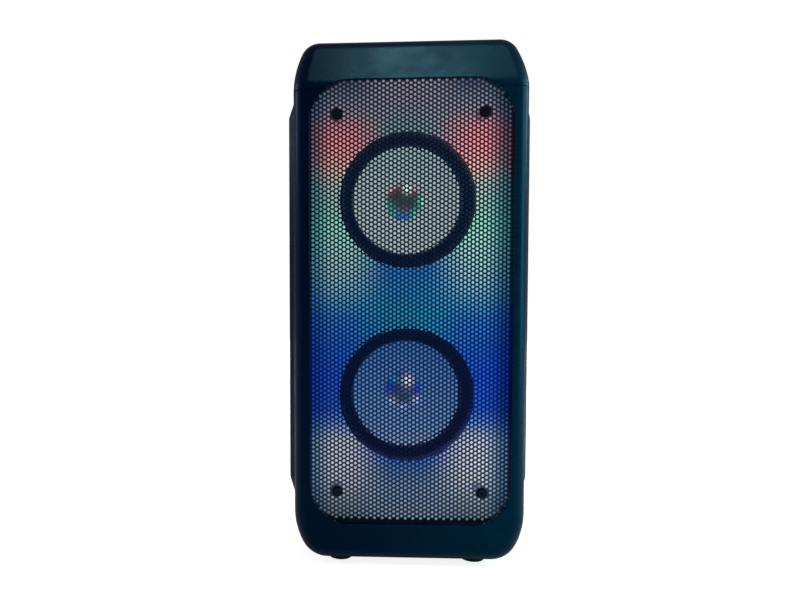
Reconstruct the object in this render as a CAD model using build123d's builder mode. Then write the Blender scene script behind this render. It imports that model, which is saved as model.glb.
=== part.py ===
"""A two-driver party speaker with a perforated metal front and a lit panel behind it.

Frame: +X to the right of someone facing the grille, +Y from front to back, +Z up.
The origin is the middle of the footprint, on the surface that the feet stand on. Millimetres.
"""

from build123d import *
import os
from math import hypot, radians, sin, sqrt

# ---------------------------------------------------------------- cabinet
BODY_WIDTH = 156.0
BODY_DEPTH = 142.0
BODY_TOP = 357.0
FOOT_HEIGHT = 4.3
WALL = 3.0
FRONT_WALL = 5.0
FRONT_Y = -BODY_DEPTH / 2
BACK_Y = BODY_DEPTH / 2

SHOULDER_RADIUS = 69.0
SHOULDER_ANGLE = 23.0
TOP_CORNER_RADIUS = 13.5
HIP_RADIUS = 48.0
HIP_ANGLE = 28.0
BASE_CORNER_RADIUS = 19.4
FRONT_EDGE_RADIUS = 10.0
BACK_EDGE_RADIUS = 14.0
CAVITY_FRONT_RADIUS = 4.0

CREASE_Z = 326.0
SLOPE_RUN = 12.0
CREASE_RADIUS = 12.0

SEAM_Z = 322.0
SPLIT_Y = -22.0
GROOVE_WIDTH = 0.5
GROOVE_DEPTH = 0.8

# ---------------------------------------------------------------- front opening and grille
OPENING_WIDTH = 134.3
OPENING_HEIGHT = 298.0
OPENING_RADIUS = 27.0
OPENING_Z = 178.85
LIP_ROUNDING = 0.6

GRILLE_THICKNESS = 0.8
GRILLE_CROWN = 1.5
CROWN_HALF_SPAN = OPENING_WIDTH / 2 - 1.0
GRILLE_MARGIN = 2.5
GRILLE_EDGE_Y = FRONT_Y + FRONT_WALL
GRILLE_SCREW_X = 48.6
GRILLE_SCREW_Z = 127.7
GRILLE_SCREW_RADIUS = 1.5
GRILLE_HEAD_RADIUS = 2.7
GRILLE_HEAD_HEIGHT = 1.4
DIMPLE_RADIUS = 4.2
DIMPLE_DEPTH = 0.9

# ---------------------------------------------------------------- light box behind the grille
BAFFLE_FRONT_Y = -44.0
BAFFLE_THICKNESS = 3.0
BAFFLE_HOLE_RADIUS = 46.0
POST_RADIUS = 3.8
LIGHT_PANEL_BACK_Y = -51.0
LIGHT_PANEL_THICKNESS = 2.0
LIGHT_PANEL_HOLE_RADIUS = 46.7
LED_BOARD_THICKNESS = 1.6
LED_SIZE = 5.0
LED_HEIGHT = 1.6

# ---------------------------------------------------------------- drivers, nominal 4 inch
DRIVER_CENTRES = {"upper": 250.5, "lower": 115.0}
FLANGE_RADIUS = 54.0
DRIVER_SCREW_CIRCLE = 51.3
CONE_RADIUS = 37.1
COIL_RADIUS = 12.8
CAP_RADIUS = 14.0
CAP_HEIGHT = 4.6
POLE_RADIUS = 12.2
MAGNET_RADIUS = 36.0

# ---------------------------------------------------------------- controls on top
BUTTON_NAMES = ("mode", "previous", "play", "next", "light", "mic")
BUTTON_PITCH = 17.0
BUTTON_RADIUS = 6.4
CONTROL_Y = 8.0
PANEL_LENGTH = 116.0
PANEL_WIDTH = 30.0
POCKET_FLOOR_Z = 354.0

# ---------------------------------------------------------------- back: sockets, port, grip
SOCKET_Z = 172.0
BOARD_TOP_Z = SOCKET_Z - 7.0
SOCKET_PANEL_WIDTH = 108.0
SOCKET_PANEL_HEIGHT = 26.0
MIC_X, AUX_X, USB_X, CARD_X, CHARGE_X, SWITCH_X = -41.0, -24.0, -6.0, 13.0, 29.0, 43.0
AUX_Z = BOARD_TOP_Z + 3.5
USB_Z = BOARD_TOP_Z + 2.9
CARD_Z = BOARD_TOP_Z + 1.3
CHARGE_Z = BOARD_TOP_Z + 1.6
SWITCH_Z = BOARD_TOP_Z + 3.0
MIC_BORE_RADIUS = 3.2
AUX_BORE_RADIUS = 1.8

PORT_Z = 88.0
PORT_RADIUS = 17.0
PORT_WALL = 2.5
GRIP_Z = 299.0
GRIP_WIDTH = 92.0
GRIP_HEIGHT = 27.0
GRIP_DEPTH = 24.0

BOSS_X = 62.0
BOSS_HEIGHTS = (40.0, 128.0, 216.0, 304.0)
BOSS_RADIUS = 4.5
SCREW_SEAT_Y = 60.0
FOOT_RADIUS = 8.5
FOOT_X = 46.0
FOOT_FRONT_Y = -50.0
FOOT_BACK_Y = 46.0

SIDE_PAD_LENGTH = 112.0
SIDE_PAD_HEIGHT = 273.8
SIDE_PAD_Y = -2.0
SIDE_PAD_Z = 181.4
SIDE_PAD_PROUD = 3.5


def save(builder, name):
    """Label a finished piece and write its STEP file."""
    builder.part.label = name
    export_step(builder.part, f"parts/{name}.step")


def facing_front(y, x=0.0, z=0.0):
    """An upright plane at depth y: local x is X, local y is Z, and it extrudes forwards."""
    return Plane(origin=(x, y, z), x_dir=(1, 0, 0), z_dir=(0, -1, 0))


def mirrored_pairs(x, heights):
    """Points at the same heights on both sides of the cabinet's middle."""
    return [(side * x, height) for side in (-1, 1) for height in heights]


# ================================================================ cabinet shells
def cabinet_block(inset, front_inset, front_radius):
    """The solid cabinet form, drawn in by inset all round and by front_inset at the front."""
    half_width = BODY_WIDTH / 2 - inset
    top = BODY_TOP - inset
    base = FOOT_HEIGHT + inset
    lean_in = sin(radians(SHOULDER_ANGLE))
    tuck_in = sin(radians(HIP_ANGLE))
    shoulder_z = BODY_TOP - (SHOULDER_RADIUS * lean_in + TOP_CORNER_RADIUS * (1 - lean_in))
    hip_z = FOOT_HEIGHT + (HIP_RADIUS * tuck_in + BASE_CORNER_RADIUS * (1 - tuck_in))

    # The front of the top leans back from a crease: its line, moved in by front_inset.
    slope_rise = BODY_TOP - CREASE_Z
    slope_length = hypot(slope_rise, SLOPE_RUN)
    along = Vector(SLOPE_RUN, slope_rise) / slope_length
    inwards = Vector(slope_rise, -SLOPE_RUN) / slope_length
    slope_start = Vector(FRONT_Y, CREASE_Z) + inwards * front_inset
    low = slope_start - along * 20
    high = slope_start + along * 50

    with BuildPart() as block:
        with BuildSketch(facing_front(BACK_Y - inset)):
            with BuildLine():
                side = Line((half_width, hip_z), (half_width, shoulder_z))
                shoulder = JernArc(side @ 1, side % 1, SHOULDER_RADIUS - inset, SHOULDER_ANGLE)
                corner = JernArc(shoulder @ 1, shoulder % 1, TOP_CORNER_RADIUS - inset, 90 - SHOULDER_ANGLE)
                Line(corner @ 1, (0, top))
                hip = JernArc(side @ 0, (0, -1), HIP_RADIUS - inset, -HIP_ANGLE)
                heel = JernArc(hip @ 1, hip % 1, BASE_CORNER_RADIUS - inset, HIP_ANGLE - 90)
                Line(heel @ 1, (0, base))
                mirror(about=Plane.YZ)
            make_face()
        extrude(amount=BODY_DEPTH - inset - front_inset)

        with BuildSketch(Plane.YZ):
            with BuildLine():
                Polyline(
                    (low.X, low.Y), (high.X, high.Y), (low.X - 30, high.Y), (low.X - 30, low.Y), close=True
                )
            make_face()
        extrude(amount=BODY_WIDTH, both=True, mode=Mode.SUBTRACT)
        crease_point = (0, FRONT_Y + front_inset, CREASE_Z)
        fillet(block.edges().filter_by(Axis.X).sort_by_distance(crease_point)[0], CREASE_RADIUS)

        # The rim round the whole front, without the two lines where the crease's curve starts and ends.
        front_faces = block.faces().filter_by(lambda f: f.normal_at().Y < -0.3 and abs(f.normal_at().X) < 0.01)
        rim = front_faces.edges().filter_by(
            lambda e: abs((e % 0.5).X) < 0.99 or not CREASE_Z - 20 < e.center().Z < CREASE_Z + 20
        )
        fillet(rim, front_radius)
        fillet(block.faces().sort_by(Axis.Y)[-1].edges(), BACK_EDGE_RADIUS - inset)
    return block.part


def seam_grooves():
    """The shadow lines round the cabinet where its mouldings meet."""
    core = cabinet_block(GROOVE_DEPTH, GROOVE_DEPTH, FRONT_EDGE_RADIUS - GROOVE_DEPTH)
    with BuildPart() as grooves:
        with BuildSketch(Plane.XY.offset(SEAM_Z - GROOVE_WIDTH / 2)):
            Rectangle(BODY_WIDTH + 10, BODY_DEPTH + 10)
        extrude(amount=GROOVE_WIDTH)
        with BuildSketch(facing_front(SPLIT_Y + GROOVE_WIDTH / 2)):
            with Locations((0, SEAM_Z / 2)):
                Rectangle(BODY_WIDTH + 10, SEAM_Z)
        extrude(amount=GROOVE_WIDTH)
        add(core, mode=Mode.SUBTRACT)
    return grooves.part


def crowned_slab(margin, front_gap, depth):
    """A slab the size of the opening plus a margin, whose two faces bow forwards like the grille."""
    half_span = CROWN_HALF_SPAN
    half_width = OPENING_WIDTH / 2 + margin
    front = GRILLE_EDGE_Y - front_gap
    back = GRILLE_EDGE_Y + depth
    with BuildPart() as slab:
        with BuildSketch(Plane.XY.offset(OPENING_Z - OPENING_HEIGHT / 2 - margin)):
            with BuildLine():
                front_edge = Line((-half_width, front), (-half_span, front))
                crown = ThreePointArc(front_edge @ 1, (0, front - GRILLE_CROWN), (half_span, front))
                Polyline(crown @ 1, (half_width, front), (half_width, back), (half_span, back))
                ThreePointArc((half_span, back), (0, back - GRILLE_CROWN), (-half_span, back))
                Polyline((-half_span, back), (-half_width, back), front_edge @ 0)
            make_face()
        extrude(amount=OPENING_HEIGHT + 2 * margin)
        with BuildSketch(facing_front(back + 1)):
            with Locations((0, OPENING_Z)):
                RectangleRounded(2 * half_width, OPENING_HEIGHT + 2 * margin, OPENING_RADIUS + margin)
        extrude(amount=depth + GRILLE_CROWN + 4, mode=Mode.INTERSECT)
    return slab.part


def hollow_cabinet():
    """The whole hollow cabinet before it is parted into its three mouldings."""
    outer = cabinet_block(0, 0, FRONT_EDGE_RADIUS)
    cavity = cabinet_block(WALL, FRONT_WALL, CAVITY_FRONT_RADIUS)
    grille_seat = crowned_slab(GRILLE_MARGIN + 0.4, 0.05, FRONT_WALL)
    grooves = seam_grooves()
    with BuildPart() as cabinet:
        add(outer)
        add(cavity, mode=Mode.SUBTRACT)
        add(grille_seat, mode=Mode.SUBTRACT)
        with BuildSketch(facing_front(FRONT_Y + 2 * FRONT_WALL)):
            with Locations((0, OPENING_Z)):
                RectangleRounded(OPENING_WIDTH, OPENING_HEIGHT, OPENING_RADIUS)
        extrude(amount=3 * FRONT_WALL, mode=Mode.SUBTRACT)
        lip = cabinet.edges().filter_by(
            lambda e: e.center().Y < FRONT_Y + 2 and e.bounding_box().max.X < OPENING_WIDTH / 2 + 0.1
            and e.bounding_box().min.X > -OPENING_WIDTH / 2 - 0.1
            and e.bounding_box().min.Z > OPENING_Z - OPENING_HEIGHT / 2 - 0.1
            and e.bounding_box().max.Z < OPENING_Z + OPENING_HEIGHT / 2 + 0.1
        )
        fillet(lip, LIP_ROUNDING)
        add(grooves, mode=Mode.SUBTRACT)
    return cabinet.part


CABINET = hollow_cabinet()


def make_front_frame():
    """Front moulding: bezel, side walls and the long bosses that the back screws to."""
    with BuildPart() as frame:
        add(CABINET)
        split(bisect_by=Plane.XY.offset(SEAM_Z), keep=Keep.BOTTOM)
        split(bisect_by=facing_front(SPLIT_Y), keep=Keep.TOP)
        with BuildSketch(facing_front(SPLIT_Y - 0.3)):
            for side in (-1, 1):
                with Locations(*[(side * (BOSS_X + BODY_WIDTH / 2 - WALL + 0.5) / 2, z) for z in BOSS_HEIGHTS]):
                    Rectangle(BODY_WIDTH / 2 - WALL + 0.5 - BOSS_X, 3.0)
        extrude(amount=abs(BAFFLE_FRONT_Y + BAFFLE_THICKNESS - SPLIT_Y + 0.3))
        with BuildSketch(facing_front(SCREW_SEAT_Y - 10)):
            with Locations(*mirrored_pairs(BOSS_X, BOSS_HEIGHTS)):
                Circle(BOSS_RADIUS)
        extrude(amount=SCREW_SEAT_Y - 10 - (BAFFLE_FRONT_Y + BAFFLE_THICKNESS))
        with BuildSketch(facing_front(SCREW_SEAT_Y - 10)):
            with Locations(*mirrored_pairs(BOSS_X, BOSS_HEIGHTS)):
                Circle(1.6)
        extrude(amount=16, mode=Mode.SUBTRACT)
    save(frame, "front_frame")


def make_rear_shell():
    """Back moulding, with its screw seats, socket window, port hole and a hand grip let into it."""
    with BuildPart() as shell:
        add(CABINET)
        split(bisect_by=Plane.XY.offset(SEAM_Z), keep=Keep.BOTTOM)
        split(bisect_by=facing_front(SPLIT_Y), keep=Keep.BOTTOM)
        with BuildSketch(facing_front(BACK_Y - WALL / 2)):
            with Locations((0, GRIP_Z)):
                RectangleRounded(GRIP_WIDTH + 5, GRIP_HEIGHT + 5, 9)
        extrude(amount=GRIP_DEPTH + 1)
        with BuildSketch(facing_front(BACK_Y - WALL / 2)):
            with Locations(*mirrored_pairs(BOSS_X, BOSS_HEIGHTS)):
                Circle(BOSS_RADIUS + 1)
        extrude(amount=BACK_Y - WALL / 2 - SCREW_SEAT_Y + 10)
        with BuildSketch(facing_front(BACK_Y + 1)):
            with Locations((0, GRIP_Z)):
                RectangleRounded(GRIP_WIDTH, GRIP_HEIGHT, 7)
        extrude(amount=GRIP_DEPTH + 1, mode=Mode.SUBTRACT)
        with BuildSketch(facing_front(BACK_Y + 1)):
            with Locations(*mirrored_pairs(BOSS_X, BOSS_HEIGHTS)):
                Circle(3.6)
        extrude(amount=BACK_Y + 1 - SCREW_SEAT_Y, mode=Mode.SUBTRACT)
        with BuildSketch(facing_front(SCREW_SEAT_Y)):
            with Locations(*mirrored_pairs(BOSS_X, BOSS_HEIGHTS)):
                Circle(1.7)
        extrude(amount=12, mode=Mode.SUBTRACT)
        with BuildSketch(facing_front(BACK_Y + 1)):
            with Locations((0, SOCKET_Z)):
                RectangleRounded(SOCKET_PANEL_WIDTH, SOCKET_PANEL_HEIGHT, 3)
            with Locations((0, PORT_Z)):
                Circle(PORT_RADIUS + PORT_WALL + 0.3)
        extrude(amount=WALL + 2, mode=Mode.SUBTRACT)
        grip_mouth = shell.edges().filter_by(
            lambda e: e.center().Y > BACK_Y - 0.1 and abs(e.center().X) < GRIP_WIDTH / 2 + 1
            and abs(e.center().Z - GRIP_Z) < GRIP_HEIGHT / 2 + 1
        )
        fillet(grip_mouth, 2.0)
    save(shell, "rear_shell")


def make_top_cap():
    """Top moulding, thickened under a sunk pocket for the row of buttons."""
    with BuildPart() as cap:
        add(CABINET)
        split(bisect_by=Plane.XY.offset(SEAM_Z), keep=Keep.TOP)
        with BuildSketch(Plane.XY.offset(POCKET_FLOOR_Z - 7)):
            with Locations((0, CONTROL_Y)):
                RectangleRounded(PANEL_LENGTH + 4, PANEL_WIDTH + 4, 8)
        extrude(amount=8)
        with BuildSketch(Plane.XY.offset(POCKET_FLOOR_Z)):
            with Locations((0, CONTROL_Y)):
                RectangleRounded(PANEL_LENGTH, PANEL_WIDTH, 7)
        extrude(amount=5, mode=Mode.SUBTRACT)
        with BuildSketch(Plane.XY.offset(POCKET_FLOOR_Z - 8)):
            with Locations((0, CONTROL_Y)):
                RectangleRounded(PANEL_LENGTH - 10, PANEL_WIDTH - 10, 4)
        extrude(amount=9, mode=Mode.SUBTRACT)
    save(cap, "top_cap")


def make_side_panels():
    """A raised pad on each side, with long sloping ends."""
    for name, side in (("side_panel_left", -1), ("side_panel_right", 1)):
        outwards = Plane(
            origin=(side * BODY_WIDTH / 2, SIDE_PAD_Y, SIDE_PAD_Z), x_dir=(0, side, 0), z_dir=(side, 0, 0)
        )
        with BuildPart() as pad:
            with BuildSketch(outwards):
                RectangleRounded(SIDE_PAD_LENGTH, SIDE_PAD_HEIGHT, 10)
            with BuildSketch(outwards.offset(SIDE_PAD_PROUD)):
                RectangleRounded(SIDE_PAD_LENGTH - 10, SIDE_PAD_HEIGHT - 20, 6)
            loft()
        save(pad, name)


def make_feet():
    """Four turned rubber feet."""
    with BuildPart() as feet:
        with BuildSketch(Plane.XY):
            with Locations(*[(side * FOOT_X, y) for side in (-1, 1) for y in (FOOT_FRONT_Y, FOOT_BACK_Y)]):
                Circle(FOOT_RADIUS)
        extrude(amount=FOOT_HEIGHT)
        chamfer(feet.faces().filter_by(Axis.Z).group_by(Axis.Z)[0].edges(), 0.6)
    save(feet, "feet")


def make_case_screws():
    """The eight long screws that draw the back moulding onto the front one."""
    with BuildPart() as screws:
        with BuildSketch(facing_front(SCREW_SEAT_Y + 2.4)):
            with Locations(*mirrored_pairs(BOSS_X, BOSS_HEIGHTS)):
                Circle(3.2)
        extrude(amount=2.4)
        with BuildSketch(facing_front(SCREW_SEAT_Y)):
            with Locations(*mirrored_pairs(BOSS_X, BOSS_HEIGHTS)):
                Circle(1.5)
        extrude(amount=24)
        with BuildSketch(facing_front(SCREW_SEAT_Y + 2.4)):
            with Locations(*mirrored_pairs(BOSS_X, BOSS_HEIGHTS)):
                Rectangle(3.6, 0.9)
                Rectangle(0.9, 3.6)
        extrude(amount=1.3, mode=Mode.SUBTRACT)
    save(screws, "case_screws")


# ================================================================ grille and light box
def grille_screw_points():
    """The four corner screws, as points of an upright plane."""
    return [(x, OPENING_Z + z) for x in (-GRILLE_SCREW_X, GRILLE_SCREW_X) for z in (-GRILLE_SCREW_Z, GRILLE_SCREW_Z)]


def grille_front_y(x):
    """Depth of the grille's crowned front face at a distance x from the middle."""
    radius = (CROWN_HALF_SPAN**2 + GRILLE_CROWN**2) / (2 * GRILLE_CROWN)
    return GRILLE_EDGE_Y - GRILLE_CROWN + radius - sqrt(radius**2 - x**2)


def make_grille():
    """Sheet-metal front, bowed slightly forwards, with a pressed dimple for each screw head."""
    sheet = crowned_slab(GRILLE_MARGIN, 0, GRILLE_THICKNESS)
    rim_y = grille_front_y(GRILLE_SCREW_X)
    floor_y = rim_y + DIMPLE_DEPTH
    with BuildPart() as grille:
        add(sheet)
        with BuildSketch(facing_front(floor_y + GRILLE_THICKNESS)):
            with Locations(*grille_screw_points()):
                Circle(DIMPLE_RADIUS + 0.4)
        extrude(amount=DIMPLE_DEPTH + 0.4)
        with BuildSketch(facing_front(floor_y)):
            with Locations(*grille_screw_points()):
                Circle(GRILLE_HEAD_RADIUS + 0.6)
        extrude(amount=DIMPLE_DEPTH + 1, mode=Mode.SUBTRACT)
        with BuildSketch(facing_front(floor_y + FRONT_WALL)):
            with Locations(*grille_screw_points()):
                Circle(GRILLE_SCREW_RADIUS + 0.2)
        extrude(amount=2 * FRONT_WALL, mode=Mode.SUBTRACT)
    save(grille, "grille")


def make_grille_screws():
    """Four pan-head screws in the grille's dimples, driven into the posts of the baffle."""
    seat_y = grille_front_y(GRILLE_SCREW_X) + DIMPLE_DEPTH
    with BuildPart() as screws:
        with BuildSketch(facing_front(seat_y)):
            with Locations(*grille_screw_points()):
                Circle(GRILLE_HEAD_RADIUS)
        extrude(amount=GRILLE_HEAD_HEIGHT)
        fillet(screws.faces().filter_by(Axis.Y).group_by(Axis.Y)[0].edges(), 0.6)
        with BuildSketch(facing_front(seat_y)):
            with Locations(*grille_screw_points()):
                Circle(GRILLE_SCREW_RADIUS)
        extrude(amount=-10)
        with BuildSketch(facing_front(seat_y - GRILLE_HEAD_HEIGHT)):
            with Locations(*grille_screw_points()):
                Rectangle(2.8, 0.7)
                Rectangle(0.7, 2.8)
        extrude(amount=-0.9, mode=Mode.SUBTRACT)
    save(screws, "grille_screws")


def make_baffle():
    """Inner plate that carries the drivers, with a rim and posts for the light panel and grille."""
    width = OPENING_WIDTH + 11
    height = OPENING_HEIGHT + 11
    post_end_y = grille_front_y(GRILLE_SCREW_X) + DIMPLE_DEPTH + GRILLE_THICKNESS
    with BuildPart() as baffle:
        with BuildSketch(facing_front(BAFFLE_FRONT_Y + BAFFLE_THICKNESS)):
            with Locations((0, OPENING_Z)):
                RectangleRounded(width, height, OPENING_RADIUS + 5.5)
        extrude(amount=BAFFLE_THICKNESS)
        with BuildSketch(facing_front(BAFFLE_FRONT_Y)):
            with Locations((0, OPENING_Z)):
                RectangleRounded(width, height, OPENING_RADIUS + 5.5)
                RectangleRounded(width - 4, height - 4, OPENING_RADIUS + 3.5, mode=Mode.SUBTRACT)
        extrude(amount=BAFFLE_FRONT_Y - LIGHT_PANEL_BACK_Y)
        with BuildSketch(facing_front(BAFFLE_FRONT_Y)):
            with Locations(*grille_screw_points()):
                Circle(POST_RADIUS)
        extrude(amount=BAFFLE_FRONT_Y - post_end_y)
        with BuildSketch(facing_front(post_end_y + 12)):
            with Locations(*grille_screw_points()):
                Circle(GRILLE_SCREW_RADIUS + 0.05)
        extrude(amount=14, mode=Mode.SUBTRACT)
        for centre_z in DRIVER_CENTRES.values():
            with BuildSketch(facing_front(BAFFLE_FRONT_Y + BAFFLE_THICKNESS + 1, z=centre_z)):
                Circle(BAFFLE_HOLE_RADIUS)
                with PolarLocations(DRIVER_SCREW_CIRCLE, 4, 45):
                    Circle(1.3)
            extrude(amount=BAFFLE_THICKNESS + 2, mode=Mode.SUBTRACT)
    save(baffle, "baffle")


def make_light_panel():
    """Milky sheet that spreads the light, open round each driver and each post."""
    with BuildPart() as panel:
        with BuildSketch(facing_front(LIGHT_PANEL_BACK_Y)):
            with Locations((0, OPENING_Z)):
                RectangleRounded(OPENING_WIDTH + 10, OPENING_HEIGHT + 10, OPENING_RADIUS + 5)
            with Locations(*[(0, z) for z in DRIVER_CENTRES.values()]):
                Circle(LIGHT_PANEL_HOLE_RADIUS, mode=Mode.SUBTRACT)
            with Locations(*grille_screw_points()):
                Circle(POST_RADIUS + 0.3, mode=Mode.SUBTRACT)
        extrude(amount=LIGHT_PANEL_THICKNESS)
    save(panel, "light_panel")


def make_led_board():
    """One circuit board round both drivers, and the lamps on it."""
    with BuildPart() as board:
        with BuildSketch(facing_front(BAFFLE_FRONT_Y)):
            with Locations((0, OPENING_Z)):
                RectangleRounded(OPENING_WIDTH + 4, OPENING_HEIGHT + 2, OPENING_RADIUS + 2)
            with Locations(*[(0, z) for z in DRIVER_CENTRES.values()]):
                Circle(FLANGE_RADIUS + 1, mode=Mode.SUBTRACT)
            with Locations(*grille_screw_points()):
                Circle(POST_RADIUS + 0.4, mode=Mode.SUBTRACT)
        extrude(amount=LED_BOARD_THICKNESS)
    save(board, "led_board")

    middle_z = sum(DRIVER_CENTRES.values()) / 2
    side_heights = [middle_z + step * 30.0 for step in (-4, -3, -2, -1, 0, 1, 2, 3, 4)]
    centre_heights = [middle_z - 128.0, middle_z, middle_z + 128.0]
    with BuildPart() as leds:
        with BuildSketch(facing_front(BAFFLE_FRONT_Y - LED_BOARD_THICKNESS)):
            with Locations(*mirrored_pairs(61.5, side_heights)):
                Rectangle(LED_SIZE, LED_SIZE)
            with Locations(*mirrored_pairs(20.0, centre_heights)):
                Rectangle(LED_SIZE, LED_SIZE)
        extrude(amount=LED_HEIGHT)
    save(leds, "leds")


# ================================================================ drivers
def turned(centre_z, outline):
    """Spin an outline of (radius, depth) points about a driver's axis."""
    with BuildPart() as piece:
        with BuildSketch(Plane.XY.offset(centre_z)):
            with BuildLine():
                Polyline(*outline, close=True)
            make_face()
        revolve(axis=Axis((0, 0, centre_z), (0, 1, 0)))
    return piece


def make_basket(driver, centre_z):
    """Pressed steel frame: flange, open cone wall, spider ledge and base."""
    outline = [
        (44.3, -45.2), (FLANGE_RADIUS, -45.2), (FLANGE_RADIUS, BAFFLE_FRONT_Y), (45.6, BAFFLE_FRONT_Y),
        (35.2, -24.8), (31.2, -24.8), (31.2, -14.8), (14.5, -14.8), (14.5, -16.0), (30.0, -16.0),
        (30.0, -26.0), (34.4, -26.0),
    ]
    pressing = turned(centre_z, outline)
    with BuildPart() as basket:
        add(pressing.part)
        with BuildSketch(facing_front(-28.5, z=centre_z)):
            with PolarLocations(42.0, 4):
                Rectangle(24.0, 34.0)
        extrude(amount=12.0, mode=Mode.SUBTRACT)
        with BuildSketch(facing_front(-43.0, z=centre_z)):
            with PolarLocations(DRIVER_SCREW_CIRCLE, 4, 45):
                Circle(1.5)
        extrude(amount=4.0, mode=Mode.SUBTRACT)
    save(basket, f"{driver}_basket")


def make_surround(driver, centre_z):
    """Half-roll rubber edge, with an outer land on the flange and an inner one at the cone."""
    roll_middle = 41.9
    roll_outer = 4.4
    roll_thickness = 0.9
    land_y = -45.25
    with BuildPart() as surround:
        with BuildSketch(Plane.XY.offset(centre_z)):
            with BuildLine():
                Polyline(
                    (roll_middle - roll_outer + roll_thickness, land_y), (37.4, land_y),
                    (37.4, land_y - roll_thickness), (roll_middle - roll_outer, land_y - roll_thickness),
                )
                ThreePointArc(
                    (roll_middle - roll_outer, land_y - roll_thickness),
                    (roll_middle, land_y - roll_thickness - roll_outer),
                    (roll_middle + roll_outer, land_y - roll_thickness),
                )
                Polyline(
                    (roll_middle + roll_outer, land_y - roll_thickness), (48.6, land_y - roll_thickness),
                    (48.6, land_y), (roll_middle + roll_outer - roll_thickness, land_y),
                )
                ThreePointArc(
                    (roll_middle + roll_outer - roll_thickness, land_y),
                    (roll_middle, land_y - roll_outer),
                    (roll_middle - roll_outer + roll_thickness, land_y),
                )
            make_face()
        revolve(axis=Axis((0, 0, centre_z), (0, 1, 0)))
    save(surround, f"{driver}_surround")


def make_cone(driver, centre_z):
    """Moulded cone, slightly flared towards its edge."""
    with BuildPart() as cone:
        with BuildSketch(Plane.XY.offset(centre_z)):
            with BuildLine():
                front = ThreePointArc((COIL_RADIUS, -29.6), (24.0, -38.7), (36.0, -45.9))
                Polyline(front @ 1, (CONE_RADIUS, -45.9), (CONE_RADIUS, -45.0), (36.2, -45.0))
                ThreePointArc((36.2, -45.0), (24.2, -37.8), (COIL_RADIUS, -28.6))
                Line((COIL_RADIUS, -28.6), front @ 0)
            make_face()
        revolve(axis=Axis((0, 0, centre_z), (0, 1, 0)))
    save(cone, f"{driver}_cone")


def make_dust_cap(driver, centre_z):
    """Thin domed cap over the coil, part of a sphere."""
    rim_y = -30.9
    skin = 0.6
    sphere_radius = (CAP_RADIUS**2 + CAP_HEIGHT**2) / (2 * CAP_HEIGHT)
    centre_y = rim_y - CAP_HEIGHT + sphere_radius
    half = CAP_RADIUS / 2
    inner_rim = CAP_RADIUS - skin - 0.2
    inner_radius = hypot(inner_rim, centre_y - rim_y)
    with BuildPart() as cap:
        with BuildSketch(Plane.XY.offset(centre_z)):
            with BuildLine():
                ThreePointArc(
                    (0, centre_y - sphere_radius),
                    (half, centre_y - sqrt(sphere_radius**2 - half**2)),
                    (CAP_RADIUS, rim_y),
                )
                Line((CAP_RADIUS, rim_y), (inner_rim, rim_y))
                ThreePointArc(
                    (inner_rim, rim_y),
                    (half, centre_y - sqrt(inner_radius**2 - half**2)),
                    (0, centre_y - inner_radius),
                )
                Line((0, centre_y - inner_radius), (0, centre_y - sphere_radius))
            make_face()
        revolve(axis=Axis((0, 0, centre_z), (0, 1, 0)))
    save(cap, f"{driver}_dust_cap")


def make_voice_coil(driver, centre_z):
    """Thin former with the winding at its far end, in the magnet's gap."""
    outline = [
        (COIL_RADIUS - 0.2, -29.5), (COIL_RADIUS, -29.5), (COIL_RADIUS, -16.8), (COIL_RADIUS + 0.6, -16.8),
        (COIL_RADIUS + 0.6, -8.8), (COIL_RADIUS - 0.2, -8.8),
    ]
    save(turned(centre_z, outline), f"{driver}_voice_coil")


def make_spider(driver, centre_z):
    """Corrugated cloth disc that centres the coil."""
    thickness = 0.5
    crest, trough = -28.0, -27.1
    ripple_radii = [15.0 + 1.8 * step for step in range(9)]
    ripples = [(radius, (crest, trough)[step % 2]) for step, radius in enumerate(ripple_radii)]
    front = [(COIL_RADIUS + 0.3, trough)] + ripples + [(31.0, -26.6), (33.6, -26.6)]
    back = [(radius, y + thickness) for radius, y in reversed(front)]
    save(turned(centre_z, front + back), f"{driver}_spider")


def make_motor(driver, centre_z):
    """Magnet system: top plate, ring magnet, and a yoke with the centre pole."""
    plate = [(13.9, -14.8), (32.0, -14.8), (32.0, -10.8), (13.9, -10.8)]
    save(turned(centre_z, plate), f"{driver}_top_plate")
    magnet = [(16.0, -10.8), (MAGNET_RADIUS, -10.8), (MAGNET_RADIUS, 2.2), (16.0, 2.2)]
    save(turned(centre_z, magnet), f"{driver}_magnet")
    yoke = [(0, -14.8), (POLE_RADIUS, -14.8), (POLE_RADIUS, 2.2), (32.0, 2.2), (32.0, 6.2), (0, 6.2)]
    save(turned(centre_z, yoke), f"{driver}_yoke")


def make_driver_fixings(driver, centre_z):
    """The screws through the flange, and the solder tabs towards the middle of the cabinet."""
    with BuildPart() as screws:
        with BuildSketch(facing_front(-45.2, z=centre_z)):
            with PolarLocations(DRIVER_SCREW_CIRCLE, 4, 45):
                Circle(2.3)
        extrude(amount=1.4)
        with BuildSketch(facing_front(-39.5, z=centre_z)):
            with PolarLocations(DRIVER_SCREW_CIRCLE, 4, 45):
                Circle(1.25)
        extrude(amount=6.0)
        with BuildSketch(facing_front(-46.6, z=centre_z)):
            with PolarLocations(DRIVER_SCREW_CIRCLE, 4, 45):
                Rectangle(2.4, 0.6)
                Rectangle(0.6, 2.4)
        extrude(amount=-0.8, mode=Mode.SUBTRACT)
    save(screws, f"{driver}_driver_screws")

    inwards = -1 if driver == "upper" else 1
    with BuildPart() as terminals:
        with BuildSketch(facing_front(-17.0, z=centre_z + inwards * 32.2)):
            Rectangle(14.0, 1.6)
        extrude(amount=7.0)
        with BuildSketch(facing_front(-15.0, z=centre_z + inwards * 33.4)):
            with Locations((-4.5, 0), (4.5, 0)):
                Rectangle(3.0, 0.8)
        extrude(amount=8.0)
    save(terminals, f"{driver}_terminals")


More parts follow.
